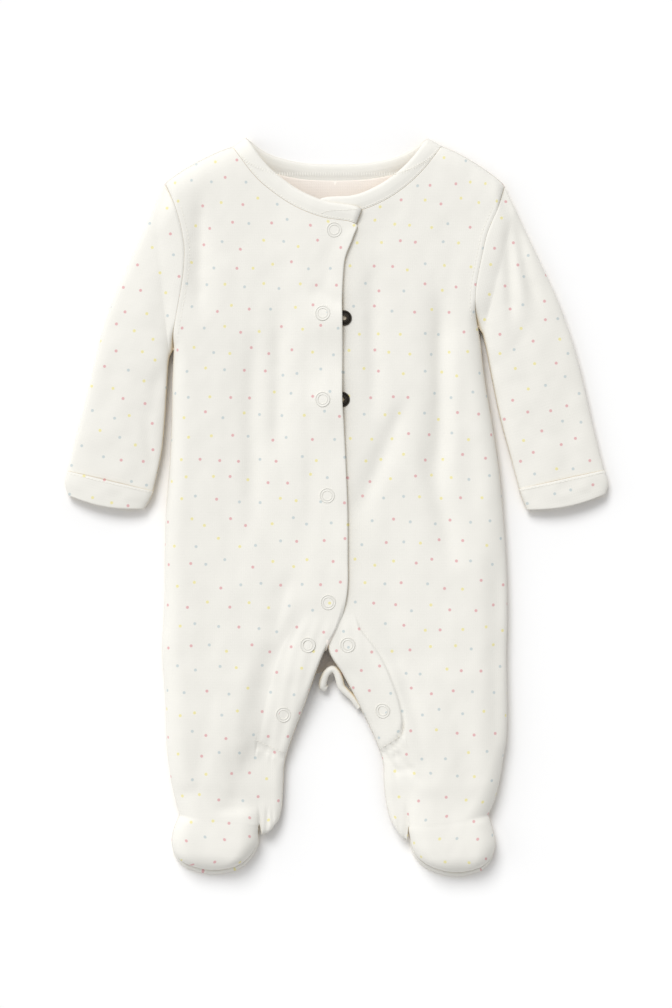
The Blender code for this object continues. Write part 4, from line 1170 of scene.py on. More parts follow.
@dataclass(kw_only=True)
class Cuff(Tube):
    """Turned and stitched band at the end of a sleeve."""

    sleeve: Sleeve
    bow: float = 3.0
    rows: int = 12
    stitch_row: float = 1.4
    turned_in: int = 5
    edge_radius: float = 0.85
    hem_depths: tuple[float, ...] = (3.0, 7.0)

    def row_at(self, i: float) -> Array:
        """Points of one row, counted from the sleeve."""
        t = i / self.rows
        return self.ring_at(t * (len(self.table) - 1), bow=self.bow * t)

    def top_line(self) -> Array:
        """Line of the cuff's stitches, across its upper side."""
        return self.row_at(self.stitch_row)[np.sin(self.angles()) > 0.2]

    def build(self) -> ClothSurface:
        """The cuff's outer surface, with its end turned in."""
        rows = []
        for i in range(self.rows + 1):
            row = self.row_at(i)
            ends = math.sin(math.pi * min(i / self.rows * 1.2, 1.0))
            row[:, 2] += self.upper(0.5) * waves_at(CUFF_WAVES, row[:, 0], row[:, 1]) * ends
            rows.append(row)
        out = unit((rows[-1] - rows[-3])[:, :2])
        for angle in math.pi * (np.arange(self.turned_in) + 1) / self.turned_in:
            row = self.ring(self.table[-1], bow=self.bow, shrink=self.edge_radius * (1 - math.cos(angle)))
            row[:, :2] += out * self.edge_radius * math.sin(angle)
            rows.append(row)
        for depth in self.hem_depths:
            row = self.ring(self.table[-1], bow=self.bow, shrink=2 * self.edge_radius)
            row[:, :2] -= out * depth
            rows.append(row)
        return self.wrap(rows, *self.sleeve.axes())


@dataclass
class NeckBinding:
    """Folded jersey binding round the whole neckline, from one front edge to the other."""

    right: Front
    left: Front
    back: Back
    width: float = 10.2
    gap: float = 0.25
    tucks: tuple[tuple[float, float], ...] = ((-1.2, -1.0), (-0.2, -0.98), (0.1, -0.45))  # under the fronts
    puff: float = 0.8
    roll: float = 0.7
    back_lap: float = 1.3  # how far the turned edge laps onto the back panel
    lift_on_back: float = 0.45  # the turned edge lies over the back panel
    lift_on_front: float = -1.0  # and is turned down and under on the fronts
    front_height: float = 4.0  # above this height the seam climbs from the back to the fronts
    front_rise: float = 6.0
    blend_length: float = 9.0
    end_reach: float = 1.5  # how far the lapping end runs on, to the rolled front edge
    neck_middle: tuple[float, float] = (0.0, 250.0)
    path: Array = field(default_factory=lambda: np.zeros((0, 3)))
    inward: Array = field(default_factory=lambda: np.zeros((0, 3)))

    def trace(self) -> None:
        """Follow the neckline seam and find the way into the neck at each of its points."""
        backs = self.back.necklines
        right, left = self.right.line(Edge.NECKLINE), self.left.line(Edge.NECKLINE)
        self.path = np.vstack([right[::-1], backs[Side.RIGHT][1:], backs[Side.LEFT][:-1][::-1], left[1:]])
        last = self.path[0] - self.path[1]
        self.path[0] += self.end_reach * last / np.linalg.norm(last)
        inward = left_of(self.path)
        inward[np.sum(inward * (self.neck_middle - self.path[:, :2]), axis=1) < 0] *= -1
        run = run_along(self.path[:, :2])
        self.inward = np.zeros((len(inward), 3))
        for i, place in enumerate(run):
            weight = np.maximum(0.0, 1.0 - np.abs(run - place) / self.blend_length)
            mean = (inward * weight[:, None]).sum(axis=0)
            self.inward[i, :2] = mean / np.linalg.norm(mean)

    def build(self) -> ClothSurface:
        """The binding's outer surface."""
        self.trace()
        on_front = smooth((self.path[:, 2] - self.front_height) / self.front_rise)
        shares = np.concatenate([[0.0, 0.03, 0.09], np.linspace(0.2, 0.8, 6), [0.91, 0.97, 1.0]])
        puffs = smooth(shares / 0.55) * quarter_round(1.0 - shares, 0.22)
        roll, reach = self.roll, self.gap + self.width * shares
        # The turned edge: how far out, how deep and how puffed each of its points is
        quarters = np.radians([45, 90, 135, 180])
        turned = [(roll * math.sin(a), roll * (1 - math.cos(a)), 0.0) for a in quarters]
        turned += [(-self.width * (1 - s), 2 * roll, p) for s, p in zip(shares[-2:0:-1], puffs[-2:0:-1])]
        turned.append((-self.width - self.gap - self.back_lap, 1.55 * roll, 0.0))
        tucked = [back for back, _ in self.tucks]
        down = np.concatenate([tucked, reach, reach[-1] + np.arange(1, len(turned) + 1)])
        rows, flats = [], []
        for point, inward, front, run in zip(self.path, self.inward, on_front, run_along(self.path)):
            row = point + np.outer(reach, inward)
            row[:, 2] = np.maximum(row[:, 2] + self.puff * puffs * front, 0.0)
            tuck = [point + inward * back + [0.0, 0.0, deep * front] for back, deep in self.tucks]
            lift = self.lift_on_back + (self.lift_on_front - self.lift_on_back) * front
            ups = [lift * depth + (1 - front) * self.puff * p for _, depth, p in turned]
            extra = [row[-1] + inward * out + [0, 0, up] for (out, _, _), up in zip(turned, ups)]
            if front > 0.5:
                extra[-1] = extra[-2]
            rows.append(np.vstack([tuck, row, extra]))
            flats.append(np.column_stack([np.full(down.size, run), down]))
        return ClothSurface().grid(rows, flats, flip=True)


@dataclass
class Sole:
    """Sole with its narrow strip that shows round the toe."""

    front: Front
    back: Back
    seam: float = 0.35
    side_bulge: float = 0.3
    toe_bulge: float = 3.4
    heel_bulge: float = -1.2
    tuck: float = 1.5
    heel_tuck: float = 3.0
    unroll: float = 6.0  # how much further out the strip's upper edge lies on the flat cloth
    drop_steps: int = 9
    inner_steps: int = 6
    seam_line: Array = field(default_factory=lambda: np.zeros((0, 3)))

    def build(self) -> ClothSurface:
        """The sole's outer surface, from the seam down and under the foot."""
        side = self.front.side
        outer, toe, inner = (self.front.line(e) for e in (Edge.VAMP_OUTER, Edge.TOE, Edge.VAMP_INNER))
        self.seam_line = np.vstack([outer[1:], toe, inner[::-1]])
        heel = [p for p in self.back.heels[side] if (p[0] - inner[0][0]) * side.value > 1.0]
        lowered = self.seam_line - [0.0, 0.0, self.seam]
        loop = np.vstack([lowered, np.array(heel[1:])[::-1] - [0.0, HAIR, 0.0]])
        on_seam = np.arange(len(loop)) < len(lowered)
        centre = loop.mean(axis=0) * [1, 1, 0]
        ahead = np.roll(loop, -1, axis=0) - np.roll(loop, 1, axis=0)
        out = unit(np.column_stack([ahead[:, 1], -ahead[:, 0], np.zeros(len(loop))]))
        out[np.sum(out * (loop - centre), axis=1) < 0] *= -1
        bulge = self.side_bulge + (self.toe_bulge - self.side_bulge) * np.maximum(0.0, -out[:, 1]) ** 1.5
        bulge = np.where(on_seam, bulge, self.heel_bulge)
        tuck = np.where(on_seam, self.tuck, self.heel_tuck)
        rings = []
        for t in np.linspace(0.0, 1.0, self.drop_steps):
            reach = bulge * math.sin(math.pi * min(t / 0.9, 1.0)) ** 0.8 - tuck * t**3
            ring = loop + out * reach[:, None]
            ring[:, 2] = loop[:, 2] * (1 - math.sin(math.pi / 2 * t))
            rings.append(ring)
        low = rings[-1]
        rings += [low * (1 - t) + centre * t for t in np.linspace(0, 1, self.inner_steps + 2)[1:-1]]
        unrolled = [self.unroll * (1 - min(i / self.drop_steps, 1.0)) for i in range(len(rings))]
        flats = [(ring + out * more)[:, :2] for ring, more in zip(rings, unrolled)]
        surface = ClothSurface().grid(rings, flats, flip=side is Side.LEFT, closed=True)
        hub = surface.add(centre, centre[:2])
        last = [surface.add(p, p[:2]) for p in rings[-1]]
        for a, b in zip(last, last[1:] + last[:1]):
            surface.faces.append([a, hub, b][:: -side.value])
        surface.lay_flat()
        return surface


@dataclass
class CrotchGather:
    """Gathered edge of the back crotch: a rolled strip that loops up between the legs."""

    line: tuple[tuple[float, float, float], ...] = (
        (-6.4, -122.3, 4.0), (-8.6, -120.4, 5.6), (-7.8, -115.4, 7.0), (-5.5, -111.0, 8.2),
        (-2.0, -109.0, 8.6), (1.0, -111.4, 8.2), (2.7, -116.1, 7.4), (4.0, -120.8, 6.6),
        (7.4, -124.6, 6.2), (12.0, -129.0, 5.4), (16.5, -135.0, 4.0),
    )
    radius: float = 1.75
    swell: float = 0.12  # the gathers' rise and fall, as a share of the radius
    gathers: float = 13.0
    length: float = 50.0
    wrap: float = 292.0  # how far round the rolled edge goes, in degrees
    steps: int = 150
    columns: int = 13

    def build(self) -> ClothSurface:
        """The strip's outer surface."""
        rows, flats, last, near = [], [], len(self.line) - 1, 0.05
        angle = np.radians(np.linspace(90 - self.wrap / 2, 90 + self.wrap / 2, self.columns))
        for share in np.arange(self.steps + 1) / self.steps:
            v = share * last
            run = spline(self.line, min(v + near, last)) - spline(self.line, max(v - near, 0))
            across = np.array([run[1], -run[0], 0.0]) / math.hypot(run[0], run[1])
            swell = self.radius * (1.0 + self.swell * math.sin(self.gathers * share))
            ring = np.outer(np.cos(angle), across) + np.outer(np.sin(angle), (0, 0, 1))
            rows.append(spline(self.line, v) + ring * swell)
            flats.append(np.column_stack([np.full(angle.size, share * self.length), angle * self.radius]))
        return ClothSurface().grid(rows, flats, flip=True)


@dataclass
class TurnedPiece:
    """A round piece turned from a profile of (radius, height) pairs, seated on cloth."""

    name: str
    place: tuple[float, float]
    profile: list[tuple[float, float]]
    sides: int = 48
    sink: float = 0.25
    sharp_angle: float = 42.0

    def build(self, tree: BVHTree, finish: Material) -> Object:
        """Make the piece.

        Args:
            tree: the cloth it sits on.
            finish: its material.

        Returns:
            The piece.
        """
        centre, normal = seat_on(tree, self.place, self.profile[0][0])
        centre = centre - normal * self.sink
        turn = Vector((0, 0, 1)).rotation_difference(normal)
        verts, faces = [], []
        for r, (radius, height) in enumerate(self.profile):
            for i in range(self.sides):
                a = 2 * math.pi * i / self.sides
                at = centre + turn @ Vector((radius * math.cos(a), radius * math.sin(a), height))
                verts.append((at - Vector(PATTERN_CENTRE)) * MM)
                low, high = r * self.sides, (r + 1) % len(self.profile) * self.sides
                ahead = (i + 1) % self.sides
                faces.append([low + i, low + ahead, high + ahead, high + i])
        obj = link_mesh(self.name, verts, faces, finish)
        obj.data.set_sharp_from_angle(angle=math.radians(self.sharp_angle))
        LOG.info("%s: turned", self.name)
        return obj


def height_on(tree: BVHTree, x: float, y: float, fallback: float = 0.0) -> float:
    """Height of the cloth's upper side at a place, in millimetres."""
    hit = tree.ray_cast(Vector((x, y, 100.0)), Vector((0, 0, -1)))[0]
    return hit.z if hit else fallback


def seat_on(tree: BVHTree, place: tuple[float, float], radius: float) -> tuple[Vector, Vector]:
    """Where a round piece sits: its centre and its normal."""
    ring = []
    for a in np.radians(np.arange(0, 360, 30)):
        x, y = place[0] + radius * math.cos(a), place[1] + radius * math.sin(a)
        ring.append(Vector((x, y, height_on(tree, x, y))))
    ring = [p for p in ring if p.z > 1.0]
    centre = Vector((*place, height_on(tree, *place)))
    spread = sum((p.x - centre.x) ** 2 for p in ring)
    slope_x = sum((p.x - centre.x) * (p.z - centre.z) for p in ring) / spread
    slope_y = sum((p.y - centre.y) * (p.z - centre.z) for p in ring) / spread
    normal = Vector((-slope_x, -slope_y, 1.0)).normalized()
    rise = sorted((p - centre).dot(normal) for p in ring)[-3]
    return centre + normal * max(rise, 0.0), normal


def double_ring(outer: float, bore: float, height: float) -> list[tuple[float, float]]:
    """Profile of a flat ring with a low rim at its outer and inner edges."""
    top = []
    for t in np.linspace(0.0, 1.0, 21):
        rims = bell(t - 0.16, 0.13) + 0.8 * bell(t - 0.86, 0.13)
        rise = (0.45 + 0.55 * rims) * math.sin(math.pi * t) ** 0.25
        top.append((outer - (outer - bore) * t, height * rise))
    return top


def linear(code: str) -> tuple[float, float, float, float]:
    """Linear colour from an sRGB hex code."""
    parts = [int(code[i : i + 2], 16) / 255 for i in (0, 2, 4)]
    return (*(p / 12.92 if p <= 0.04045 else ((p + 0.055) / 1.055) ** 2.4 for p in parts), 1.0)


def add(tree: Tree, kind: str, links: dict | None = None, **settings: object) -> bpy.types.Node:
    """Add a node with its settings and links.

    Args:
        tree: the node tree.
        kind: the node's type.
        links: for each input, by name or number, the socket or node that feeds it or its value.
        settings: the node's own properties.

    Returns:
        The node.
    """
    made = tree.nodes.new(kind)
    for key, value in settings.items():
        setattr(made, key, value)
    for key, value in (links or {}).items():
        if isinstance(value, bpy.types.Node):
            value = value.outputs[0]
        if isinstance(value, Socket):
            tree.links.new(value, made.inputs[key])
        else:
            made.inputs[key].default_value = value
    return made


def calc(tree: Tree, operation: str, *values: object) -> Socket:
    """Result of one Math node."""
    return add(tree, "ShaderNodeMath", dict(enumerate(values)), operation=operation).outputs[0]


def span(tree: Tree, value: Socket, before: tuple, after: tuple, kind: str = "LINEAR") -> Socket:
    """A value taken from one range to another."""
    links = dict(enumerate((value, *before, *after)))
    return add(tree, "ShaderNodeMapRange", links, interpolation_type=kind).outputs[0]


def blend(tree: Tree, factor: object, first: object, second: object, kind: str = "MIX") -> Socket:
    """Two colours mixed."""
    links = {0: factor, 6: first, 7: second}
    return add(tree, "ShaderNodeMix", links, data_type="RGBA", blend_type=kind).outputs[2]


def new_material(name: str, values: dict[str, object]) -> tuple[Material, Tree]:
    """A material with values on its Principled shader, and its tree."""
    material = bpy.data.materials.new(name)
    material.use_nodes = True
    for key, value in values.items():
        material.node_tree.nodes["Principled BSDF"].inputs[key].default_value = value
    return material, material.node_tree


def feed(tree: Tree, key: str, value: Socket) -> None:
    """Feed an input of a material's shader."""
    tree.links.new(value, tree.nodes["Principled BSDF"].inputs[key])


def raise_by(tree: Tree, height: Socket, strength: float, distance: float) -> None:
    """Let a height show as bumps of a material."""
    bump = add(tree, "ShaderNodeBump", {"Strength": strength, "Distance": distance, "Height": height})
    feed(tree, "Normal", bump.outputs[0])


@dataclass(frozen=True)
class DotPrint:
    """Small pigment dots scattered on loose staggered rows, in millimetres."""

    row: float = 14.3
    column: float = 13.75
    scatter: float = 6.2
    radius: float = 1.0
    edge: float = 0.32
    shift_x: float = 3.0
    shift_y: float = 2.0
    strength: float = 0.8
    inks: tuple[tuple[float, str], ...] = ((0.0, "DB9FA3"), (0.38, "E9DF92"), (0.66, "BDC9CB"))

    def wire(self, tree: Tree, place: Socket, base: Socket) -> Socket:
        """Print the dots on a base colour.

        Args:
            tree: the material's tree.
            place: the place on the flat cloth, in millimetres.
            base: the cloth's colour.

        Returns:
            The printed colour.
        """
        split = add(tree, "ShaderNodeSeparateXYZ", {0: place}).outputs
        x, y = (calc(tree, "ADD", split[i], shift) for i, shift in enumerate((self.shift_x, self.shift_y)))
        row = calc(tree, "FLOOR", calc(tree, "DIVIDE", y, self.row))
        stagger = calc(tree, "MULTIPLY", calc(tree, "FLOORED_MODULO", row, 2.0), 0.5)
        column = calc(tree, "FLOOR", calc(tree, "ADD", calc(tree, "DIVIDE", x, self.column), stagger))
        cell = add(tree, "ShaderNodeCombineXYZ", {0: column, 1: row, 2: 0.5})
        chance = add(tree, "ShaderNodeTexWhiteNoise", {0: cell}, noise_dimensions="3D")
        draw = add(tree, "ShaderNodeSeparateColor", {0: chance.outputs["Color"]}).outputs
        along = (x, calc(tree, "SUBTRACT", column, stagger), self.column, draw[0])
        offsets = []
        for at, cell_at, pitch, lot in (along, (y, row, self.row, draw[1])):
            middle = calc(tree, "MULTIPLY", calc(tree, "ADD", cell_at, 0.5), pitch)
            thrown = calc(tree, "MULTIPLY", calc(tree, "SUBTRACT", lot, 0.5), self.scatter)
            offsets.append(calc(tree, "SUBTRACT", calc(tree, "SUBTRACT", at, middle), thrown))
        squares = [calc(tree, "MULTIPLY", offset, offset) for offset in offsets]
        away = calc(tree, "SQRT", calc(tree, "ADD", *squares))
        edges = (self.radius - self.edge, self.radius + self.edge)
        inside = span(tree, away, edges, (self.strength, 0.0), "SMOOTHSTEP")
        ramp = add(tree, "ShaderNodeValToRGB", {0: draw[2]})
        ramp.color_ramp.interpolation = "CONSTANT"
        stops = ramp.color_ramp.elements
        stops.new(self.inks[2][0])
        for stop, (position, ink) in zip(stops, self.inks):
            stop.position, stop.color = position, linear(ink)
        return blend(tree, inside, base, ramp.outputs[0])


@dataclass(frozen=True)
class Interlock:
    """Brushed interlock cotton: matt, with fine wales along the grain and a soft fuzz."""

    name: str
    colour: str
    wale: float = 1.5  # real wales are 0.7 mm; drawn coarser so that they show
    course: float = 1.9
    # Painted shade: a warm tint multiplied into the colour of the deepest crevices, and how far the
    # occlusion looks for them
    crevice: str = "F6E3BF"  # tint of the deepest crevices
    crevice_reach: float = 0.02
    dots: DotPrint | None = None

    def make(self) -> Material:
        """Build the material."""
        matt = {"Roughness": 0.92, "Specular IOR Level": 0.25, "Sheen Weight": 0.12, "Sheen Roughness": 0.5}
        material, tree = new_material(self.name, matt)
        flat = add(tree, "ShaderNodeAttribute", attribute_name="cloth").outputs["Vector"]
        place = add(tree, "ShaderNodeVectorMath", {0: flat, 3: 1 / MM}, operation="SCALE").outputs[0]
        # Worn fuzz lightens and darkens the cream in soft patches
        patches = add(tree, "ShaderNodeTexNoise", {"Vector": place, "Scale": 0.05, "Detail": 3.0})
        tone = span(tree, patches.outputs[0], (0.3, 0.7), (0.975, 1.0))
        colour = blend(tree, 1.0, linear(self.colour), tone, "MULTIPLY")
        if self.dots:
            colour = self.dots.wire(tree, place, colour)
        # Painted shade: where ambient occlusion finds a crevice the colour is multiplied by a warm tint,
        # standing in for light that has passed through the cream cotton a few times
        sky = add(tree, "ShaderNodeAmbientOcclusion", {"Distance": self.crevice_reach}, samples=8)
        depth = span(tree, sky.outputs["AO"], (0.05, 0.65), (1.0, 0.0))
        feed(tree, "Base Color", blend(tree, depth, colour, linear(self.crevice), "MULTIPLY"))
        # Wales and courses of the knit, under a fuzz of loose fibre
        knit = []
        for pitch, distortion, way in ((self.wale, 0.6, "X"), (self.course, 0.8, "Y")):
            links = {"Vector": place, "Scale": 0.314 / pitch, "Distortion": distortion}
            knit.append(add(tree, "ShaderNodeTexWave", links, bands_direction=way).outputs[1])
        loose = {"Vector": place, "Scale": 0.9, "Detail": 4.0, "Roughness": 0.7}
        fuzz = add(tree, "ShaderNodeTexNoise", loose)
        height = calc(tree, "MULTIPLY_ADD", fuzz, 1.4, calc(tree, "MULTIPLY", *knit))
        raise_by(tree, height, 0.35, 0.00012)
        return material


@dataclass(frozen=True)
class Hard:
    """A smooth hard finish with faint unevenness: enamelled brass caps, gunmetal plate."""

    name: str
    colour: str
    roughness: float
    metallic: float = 0.0

    def make(self) -> Material:
        """Build the material."""
        smooth_finish = {"Base Color": linear(self.colour), "Metallic": self.metallic}
        material, tree = new_material(self.name, smooth_finish)
        place = add(tree, "ShaderNodeTexCoord").outputs["Object"]
        worn = add(tree, "ShaderNodeTexNoise", {"Vector": place, "Scale": 900.0, "Detail": 3.0}).outputs[0]
        feed(tree, "Roughness", span(tree, worn, (0.3, 0.7), (self.roughness * 0.8, self.roughness * 1.25)))
        raise_by(tree, worn, 0.1, 0.00005)
        return material


@dataclass(frozen=True)
class Thread:
    """Polyester sewing thread: a twisted cream yarn with a slight gloss."""

    name: str = "cream_thread"
    colour: str = "F3F1E9"

    def make(self) -> Material:
        """Build the material."""
        material, tree = new_material(self.name, {"Base Color": linear(self.colour), "Roughness": 0.6})
        place = add(tree, "ShaderNodeTexCoord").outputs["Object"]
        links = {"Vector": place, "Scale": 700.0, "Distortion": 1.0}
        twist = add(tree, "ShaderNodeTexWave", links, bands_direction="DIAGONAL")
        raise_by(tree, twist.outputs[1], 0.3, 0.00005)
        return material


@dataclass
class StitchRows:
    """Rows of single stitches along lines on the cloth, made with Geometry Nodes."""

    name: str
    lines: list[Array]
    pitch: float
    length: float
    width: float = 0.42
    height: float = 0.42
    seed: int = 4

    def tree(self, finish: Material) -> Tree:
        """The node tree, with its sizes as named inputs."""
        tree = bpy.data.node_groups.new(self.name + "_rows", "GeometryNodeTree")
        sockets = [("Lines", "Geometry"), ("Pitch", "Float"), ("Length", "Float"), ("Width", "Float")]
        for label, kind in sockets + [("Height", "Float"), ("Seed", "Int")]:
            tree.interface.new_socket(label, in_out="INPUT", socket_type="NodeSocket" + kind)
        tree.interface.new_socket("Stitches", in_out="OUTPUT", socket_type="NodeSocketGeometry")
        start = add(tree, "NodeGroupInput").outputs
        curve = add(tree, "GeometryNodeMeshToCurve", {"Mesh": start["Lines"]})
        spacing = {"Curve": curve, "Length": start["Pitch"]}
        even = add(tree, "GeometryNodeResampleCurve", spacing, mode="LENGTH")
        stitch = add(tree, "GeometryNodeMeshUVSphere", {"Segments": 6, "Rings": 5, "Radius": 0.5})
        tangent = add(tree, "GeometryNodeInputTangent")
        turn = add(tree, "FunctionNodeAlignRotationToVector", {"Vector": tangent}, axis="X")
        limits = {2: 0.85, 3: 1.1, "Seed": start["Seed"]}
        vary = add(tree, "FunctionNodeRandomValue", limits, data_type="FLOAT")
        long = calc(tree, "MULTIPLY", start["Length"], vary.outputs[1])
        size = add(tree, "ShaderNodeCombineXYZ", {0: long, 1: start["Width"], 2: start["Height"]})
        links = {"Points": even, "Instance": stitch, "Rotation": turn, "Scale": size}
        placed = add(tree, "GeometryNodeInstanceOnPoints", links)
        real = add(tree, "GeometryNodeRealizeInstances", {"Geometry": placed})
        dressed = add(tree, "GeometryNodeSetMaterial", {"Geometry": real, "Material": finish})
        add(tree, "NodeGroupOutput", {"Stitches": dressed})
        return tree

    def build(self, finish: Material) -> Object:
        """Make the stitches.

        Args:
            finish: the thread.

        Returns:
            One plain mesh of all the rows.
        """
        verts, edges = [], []
        for line in self.lines:
            first = len(verts)
            verts += ((np.asarray(line) - PATTERN_CENTRE) * MM).tolist()
            edges += [(i, i + 1) for i in range(first, len(verts) - 1)]
        obj = link_mesh(self.name, verts, [], edges=edges)
        modifier = obj.modifiers.new("stitches", "NODES")
        modifier.node_group = self.tree(finish)
        for item in modifier.node_group.interface.items_tree:
            if item.name in ("Pitch", "Length", "Width", "Height"):
                modifier[item.identifier] = getattr(self, item.name.lower()) * MM
            elif item.name == "Seed":
                modifier[item.identifier] = self.seed
        graph = bpy.context.evaluated_depsgraph_get()
        data = bpy.data.meshes.new_from_object(obj.evaluated_get(graph), depsgraph=graph)
        data.shade_smooth()
        obj.modifiers.clear()
        obj.data = data
        LOG.info("%s: %d faces", self.name, len(data.polygons))
        return obj


class Lamp(NamedTuple):
    """A distant soft light: its name, strength, width in degrees and where it shines from."""

    name: str
    strength: float
    width: float
    place: tuple[float, float, float]


@dataclass
class Studio:
    """White floor, soft light from the upper left, and a camera straight above."""

    view_centre: tuple[float, float] = (-0.00035, 0.00275)
    frame_height: float = 0.6784
    cloth_height: float = 0.014
    floor_half: float = 3.0
    lens: float = 100.0
    sensor: float = 36.0
    sky_strength: float = 0.54
    lamps: tuple[Lamp, ...] = (
        Lamp("window", 1.94, 30.0, (-0.42, 0.96, 1.12)),
        Lamp("side_window", 0.48, 44.0, (-1.3, 0.15, 0.75)),
    )

    def build(self) -> None:
        """Make the floor, lights, world and camera."""
        scene = bpy.context.scene
        scene.view_settings.view_transform = "Standard"
        paper = {"Base Color": linear("F9F9F9"), "Roughness": 1.0, "Specular IOR Level": 0.0}
        half = self.floor_half
        corners = [(-half, -half, 0), (half, -half, 0), (half, half, 0), (-half, half, 0)]
        link_mesh("floor", corners, [(0, 1, 2, 3)], new_material("white_paper", paper)[0])
        scene.world = bpy.data.worlds.new("studio")
        scene.world.use_nodes = True
        sky = scene.world.node_tree.nodes["Background"]
        sky.inputs[0].default_value = (1.0, 1.0, 1.0, 1.0)
        sky.inputs[1].default_value = self.sky_strength
        for lamp in self.lamps:
            data = bpy.data.lights.new(lamp.name, "SUN")
            data.energy, data.angle = lamp.strength, math.radians(lamp.width)
            sun = bpy.data.objects.new(lamp.name, data)
            sun.rotation_euler = (-Vector(lamp.place)).to_track_quat("-Z", "Y").to_euler()
            scene.collection.objects.link(sun)
        camera = bpy.data.cameras.new("camera")
        camera.lens, camera.sensor_fit, camera.sensor_height = self.lens, "VERTICAL", self.sensor
        eye = bpy.data.objects.new("camera", camera)
        eye.location = (*self.view_centre, self.cloth_height + self.frame_height * self.lens / self.sensor)
        scene.collection.objects.link(eye)
        scene.camera = eye


def dress(obj: Object, slot: str, *nodes: str) -> None:
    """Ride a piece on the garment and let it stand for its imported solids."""
    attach(obj, "root")
    if nodes:
        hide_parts(*nodes)


def sewn_line(tree: BVHTree, line: Array, inward: float, lift: float = 0.1) -> Array:
    """A line moved sideways in plan and laid on the cloth.

    Args:
        tree: the cloth.
        line: the line's points.
        inward: how far it moves to its left.
        lift: its height above the cloth.

    Returns:
        The moved line, without the places where there is no cloth.
    """
    plan = line[:, :2] + left_of(line) * inward
    laid = [(x, y, height_on(tree, x, y, -1.0) + lift) for x, y in plan]
    return np.array([point for point in laid if point[2] > 0.0])


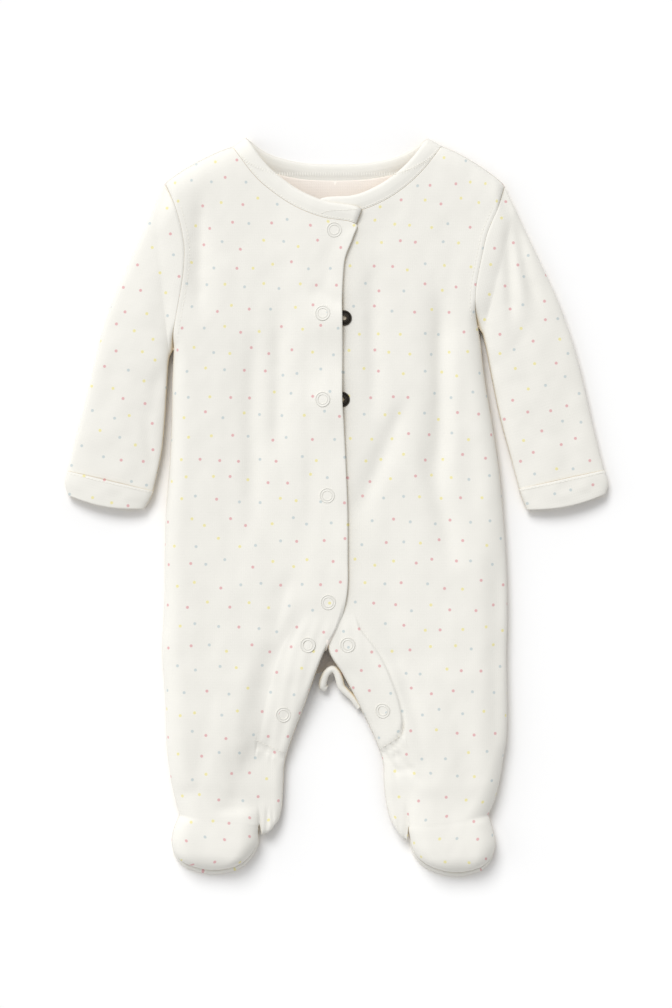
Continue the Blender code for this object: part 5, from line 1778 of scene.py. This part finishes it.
@dataclass
class Sleepsuit:
    """The whole garment."""

    fronts: dict[Side, Front] = field(default_factory=dict)
    cuffs: dict[Side, Cuff] = field(default_factory=dict)
    soles: dict[Side, Sole] = field(default_factory=dict)
    binding: NeckBinding | None = None
    trees: dict[str, BVHTree] = field(default_factory=dict)

    def cut(self) -> dict[str, ClothSurface]:
        """The surface of every piece of cloth, by its node's name."""
        right = Front(Side.RIGHT, RIGHT_FRONT, RIGHT_FOOT, heel_bow=7.0, trench=DEEP_TRENCH)
        band = {"band_end": -165.0, "band_slant": 0.55, "band_corner": 9.0, "step_reach": 1.2}
        seams = {"seam_ridge": 0.3, "groove": 0.45, "pucker": 0.5}
        left = Front(Side.LEFT, LEFT_FRONT, LEFT_FOOT, heel_bow=9.5, trench=SHALLOW_TRENCH, **band, **seams)
        self.fronts = {Side.RIGHT: right, Side.LEFT: left}
        surfaces = {f"front_{side.word}": front.build() for side, front in self.fronts.items()}
        back = Back(right, left)
        surfaces["back_panel"] = back.build()
        for side, front in self.fronts.items():
            sleeve = Sleeve(side=side, table=SLEEVES[side], creases=SLEEVE_CREASES[side])
            self.cuffs[side] = Cuff(side=side, table=CUFFS[side], sleeve=sleeve)
            self.soles[side] = Sole(front, back)
            surfaces[f"sleeve_{side.word}"] = sleeve.build(front, back)
            surfaces[f"cuff_{side.word}"] = self.cuffs[side].build()
            surfaces[f"sole_{side.word}"] = self.soles[side].build()
        self.binding = NeckBinding(right, left, back)
        surfaces["neck_binding"] = self.binding.build()
        surfaces["crotch_gather"] = CrotchGather().build()
        return surfaces

    def build(self) -> None:
        """Make and dress every piece."""
        printed = Interlock("cream_interlock_cotton", "EAE8E1", dots=DotPrint()).make()
        # Painted light: the reverse is coloured lighter than the outside so that the shaded inside of the
        # back, seen through the neck, looks lit
        reverse = Interlock("interlock_reverse", "F6EEE6").make()
        plain = Interlock("plain_jersey_binding", "ECEAE3", wale=1.2).make()
        thread = Thread().make()
        enamel = Hard("white_enamelled_brass", "E2E0D9", 0.38).make()
        gunmetal = Hard("gunmetal_plate", "4A4640", 0.35, metallic=1.0).make()
        for name, surface in self.cut().items():
            self.trees[name] = surface.tree()
            bound = name in ("neck_binding", "crotch_gather")
            thickness = BINDING_CLOTH if name == "neck_binding" else CLOTH
            outside, inside = (plain, plain) if bound else (printed, reverse)
            obj = surface.shell(name + "_cloth", thickness, outside, inside)
            dress(obj, "binding" if bound else "cloth", name)
        for rows in self.sew():
            dress(rows.build(thread), "cloth")
        cap = double_ring(SNAP_RADIUS, SNAP_BORE, SNAP_HEIGHT)
        for row, places in SNAP_PLACES.items():
            tree = self.trees["front_left" if row == "leg_left" else "front_right"]
            for i, place in enumerate(places, 1):
                ring = TurnedPiece(f"snap_{row}_{i}_ring", place, cap).build(tree, enamel)
                dress(ring, "snap_cap", f"snap_{row}_{i}")
        for i, place in enumerate(SOCKET_PLACES, 1):
            plate = TurnedPiece(f"snap_socket_{i}_plate", place, SOCKET_PROFILE)
            dress(plate.build(self.trees["front_left"], gunmetal), "snap_socket", f"snap_socket_{i}")

    def sew(self) -> list[StitchRows]:
        """Every row of stitches that shows."""
        bound, path = self.trees["neck_binding"], self.binding.path
        right, left = self.fronts.values()
        corner = len(right.line(Edge.NECKLINE))
        across = corner + len(left.line(Edge.NECKLINE)) - len(path)
        necks = [sewn_line(bound, part, -NECK_STITCH) for part in (path[:corner], path[across:])]
        armholes, plackets, hems, toes = [], [], [], []
        for side, front in self.fronts.items():
            tree = self.trees[f"front_{side.word}"]
            armholes.append(sewn_line(tree, front.line(Edge.ARMHOLE)[8:-4], -ARMHOLE_STITCH * side.value))
            edge = np.array([(row.edge_x, row.edge_y) for row in front.table])
            steps = np.linspace(1.5, front.band_reach(), 12)
            ys = front.band_end + front.band_slant * steps + PLACKET_STITCH
            xs = np.interp(-ys, -edge[:, 1], edge[:, 0]) + side.value * steps
            plackets.append(sewn_line(tree, np.column_stack([xs, ys]), 0.0))
            hems.append(sewn_line(self.trees[f"cuff_{side.word}"], self.cuffs[side].top_line(), 0.0))
            sole = self.trees[f"sole_{side.word}"]
            toes.append(sewn_line(sole, self.soles[side].seam_line, -TOE_STITCH * side.value))
        plackets.append(sewn_line(self.trees["front_right"], np.array(CROTCH_TACK), 0.0))
        overlock = [sewn_line(bound, path[path[:, 2] < BACK_NECK_TOP], -OVERLOCK, lift=0.02)]
        return [
            StitchRows("neck_topstitch", necks, pitch=2.1, length=1.7),
            StitchRows("armhole_stitches", armholes, pitch=2.6, length=1.9, width=0.34, height=0.3),
            StitchRows("placket_stitches", plackets, pitch=2.2, length=1.8),
            StitchRows("cuff_stitches", hems, pitch=2.4, length=2.0),
            StitchRows("toe_stitches", toes, pitch=2.4, length=1.9),
            StitchRows("back_neck_overlock", overlock, pitch=1.7, length=0.5, width=3.0, height=0.5),
        ]


def main() -> None:
    """Build the garment in its studio."""
    logging.basicConfig(level=logging.INFO, format="%(message)s")
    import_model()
    Sleepsuit().build()
    Studio().build()


if __name__ == "__main__":
    main()
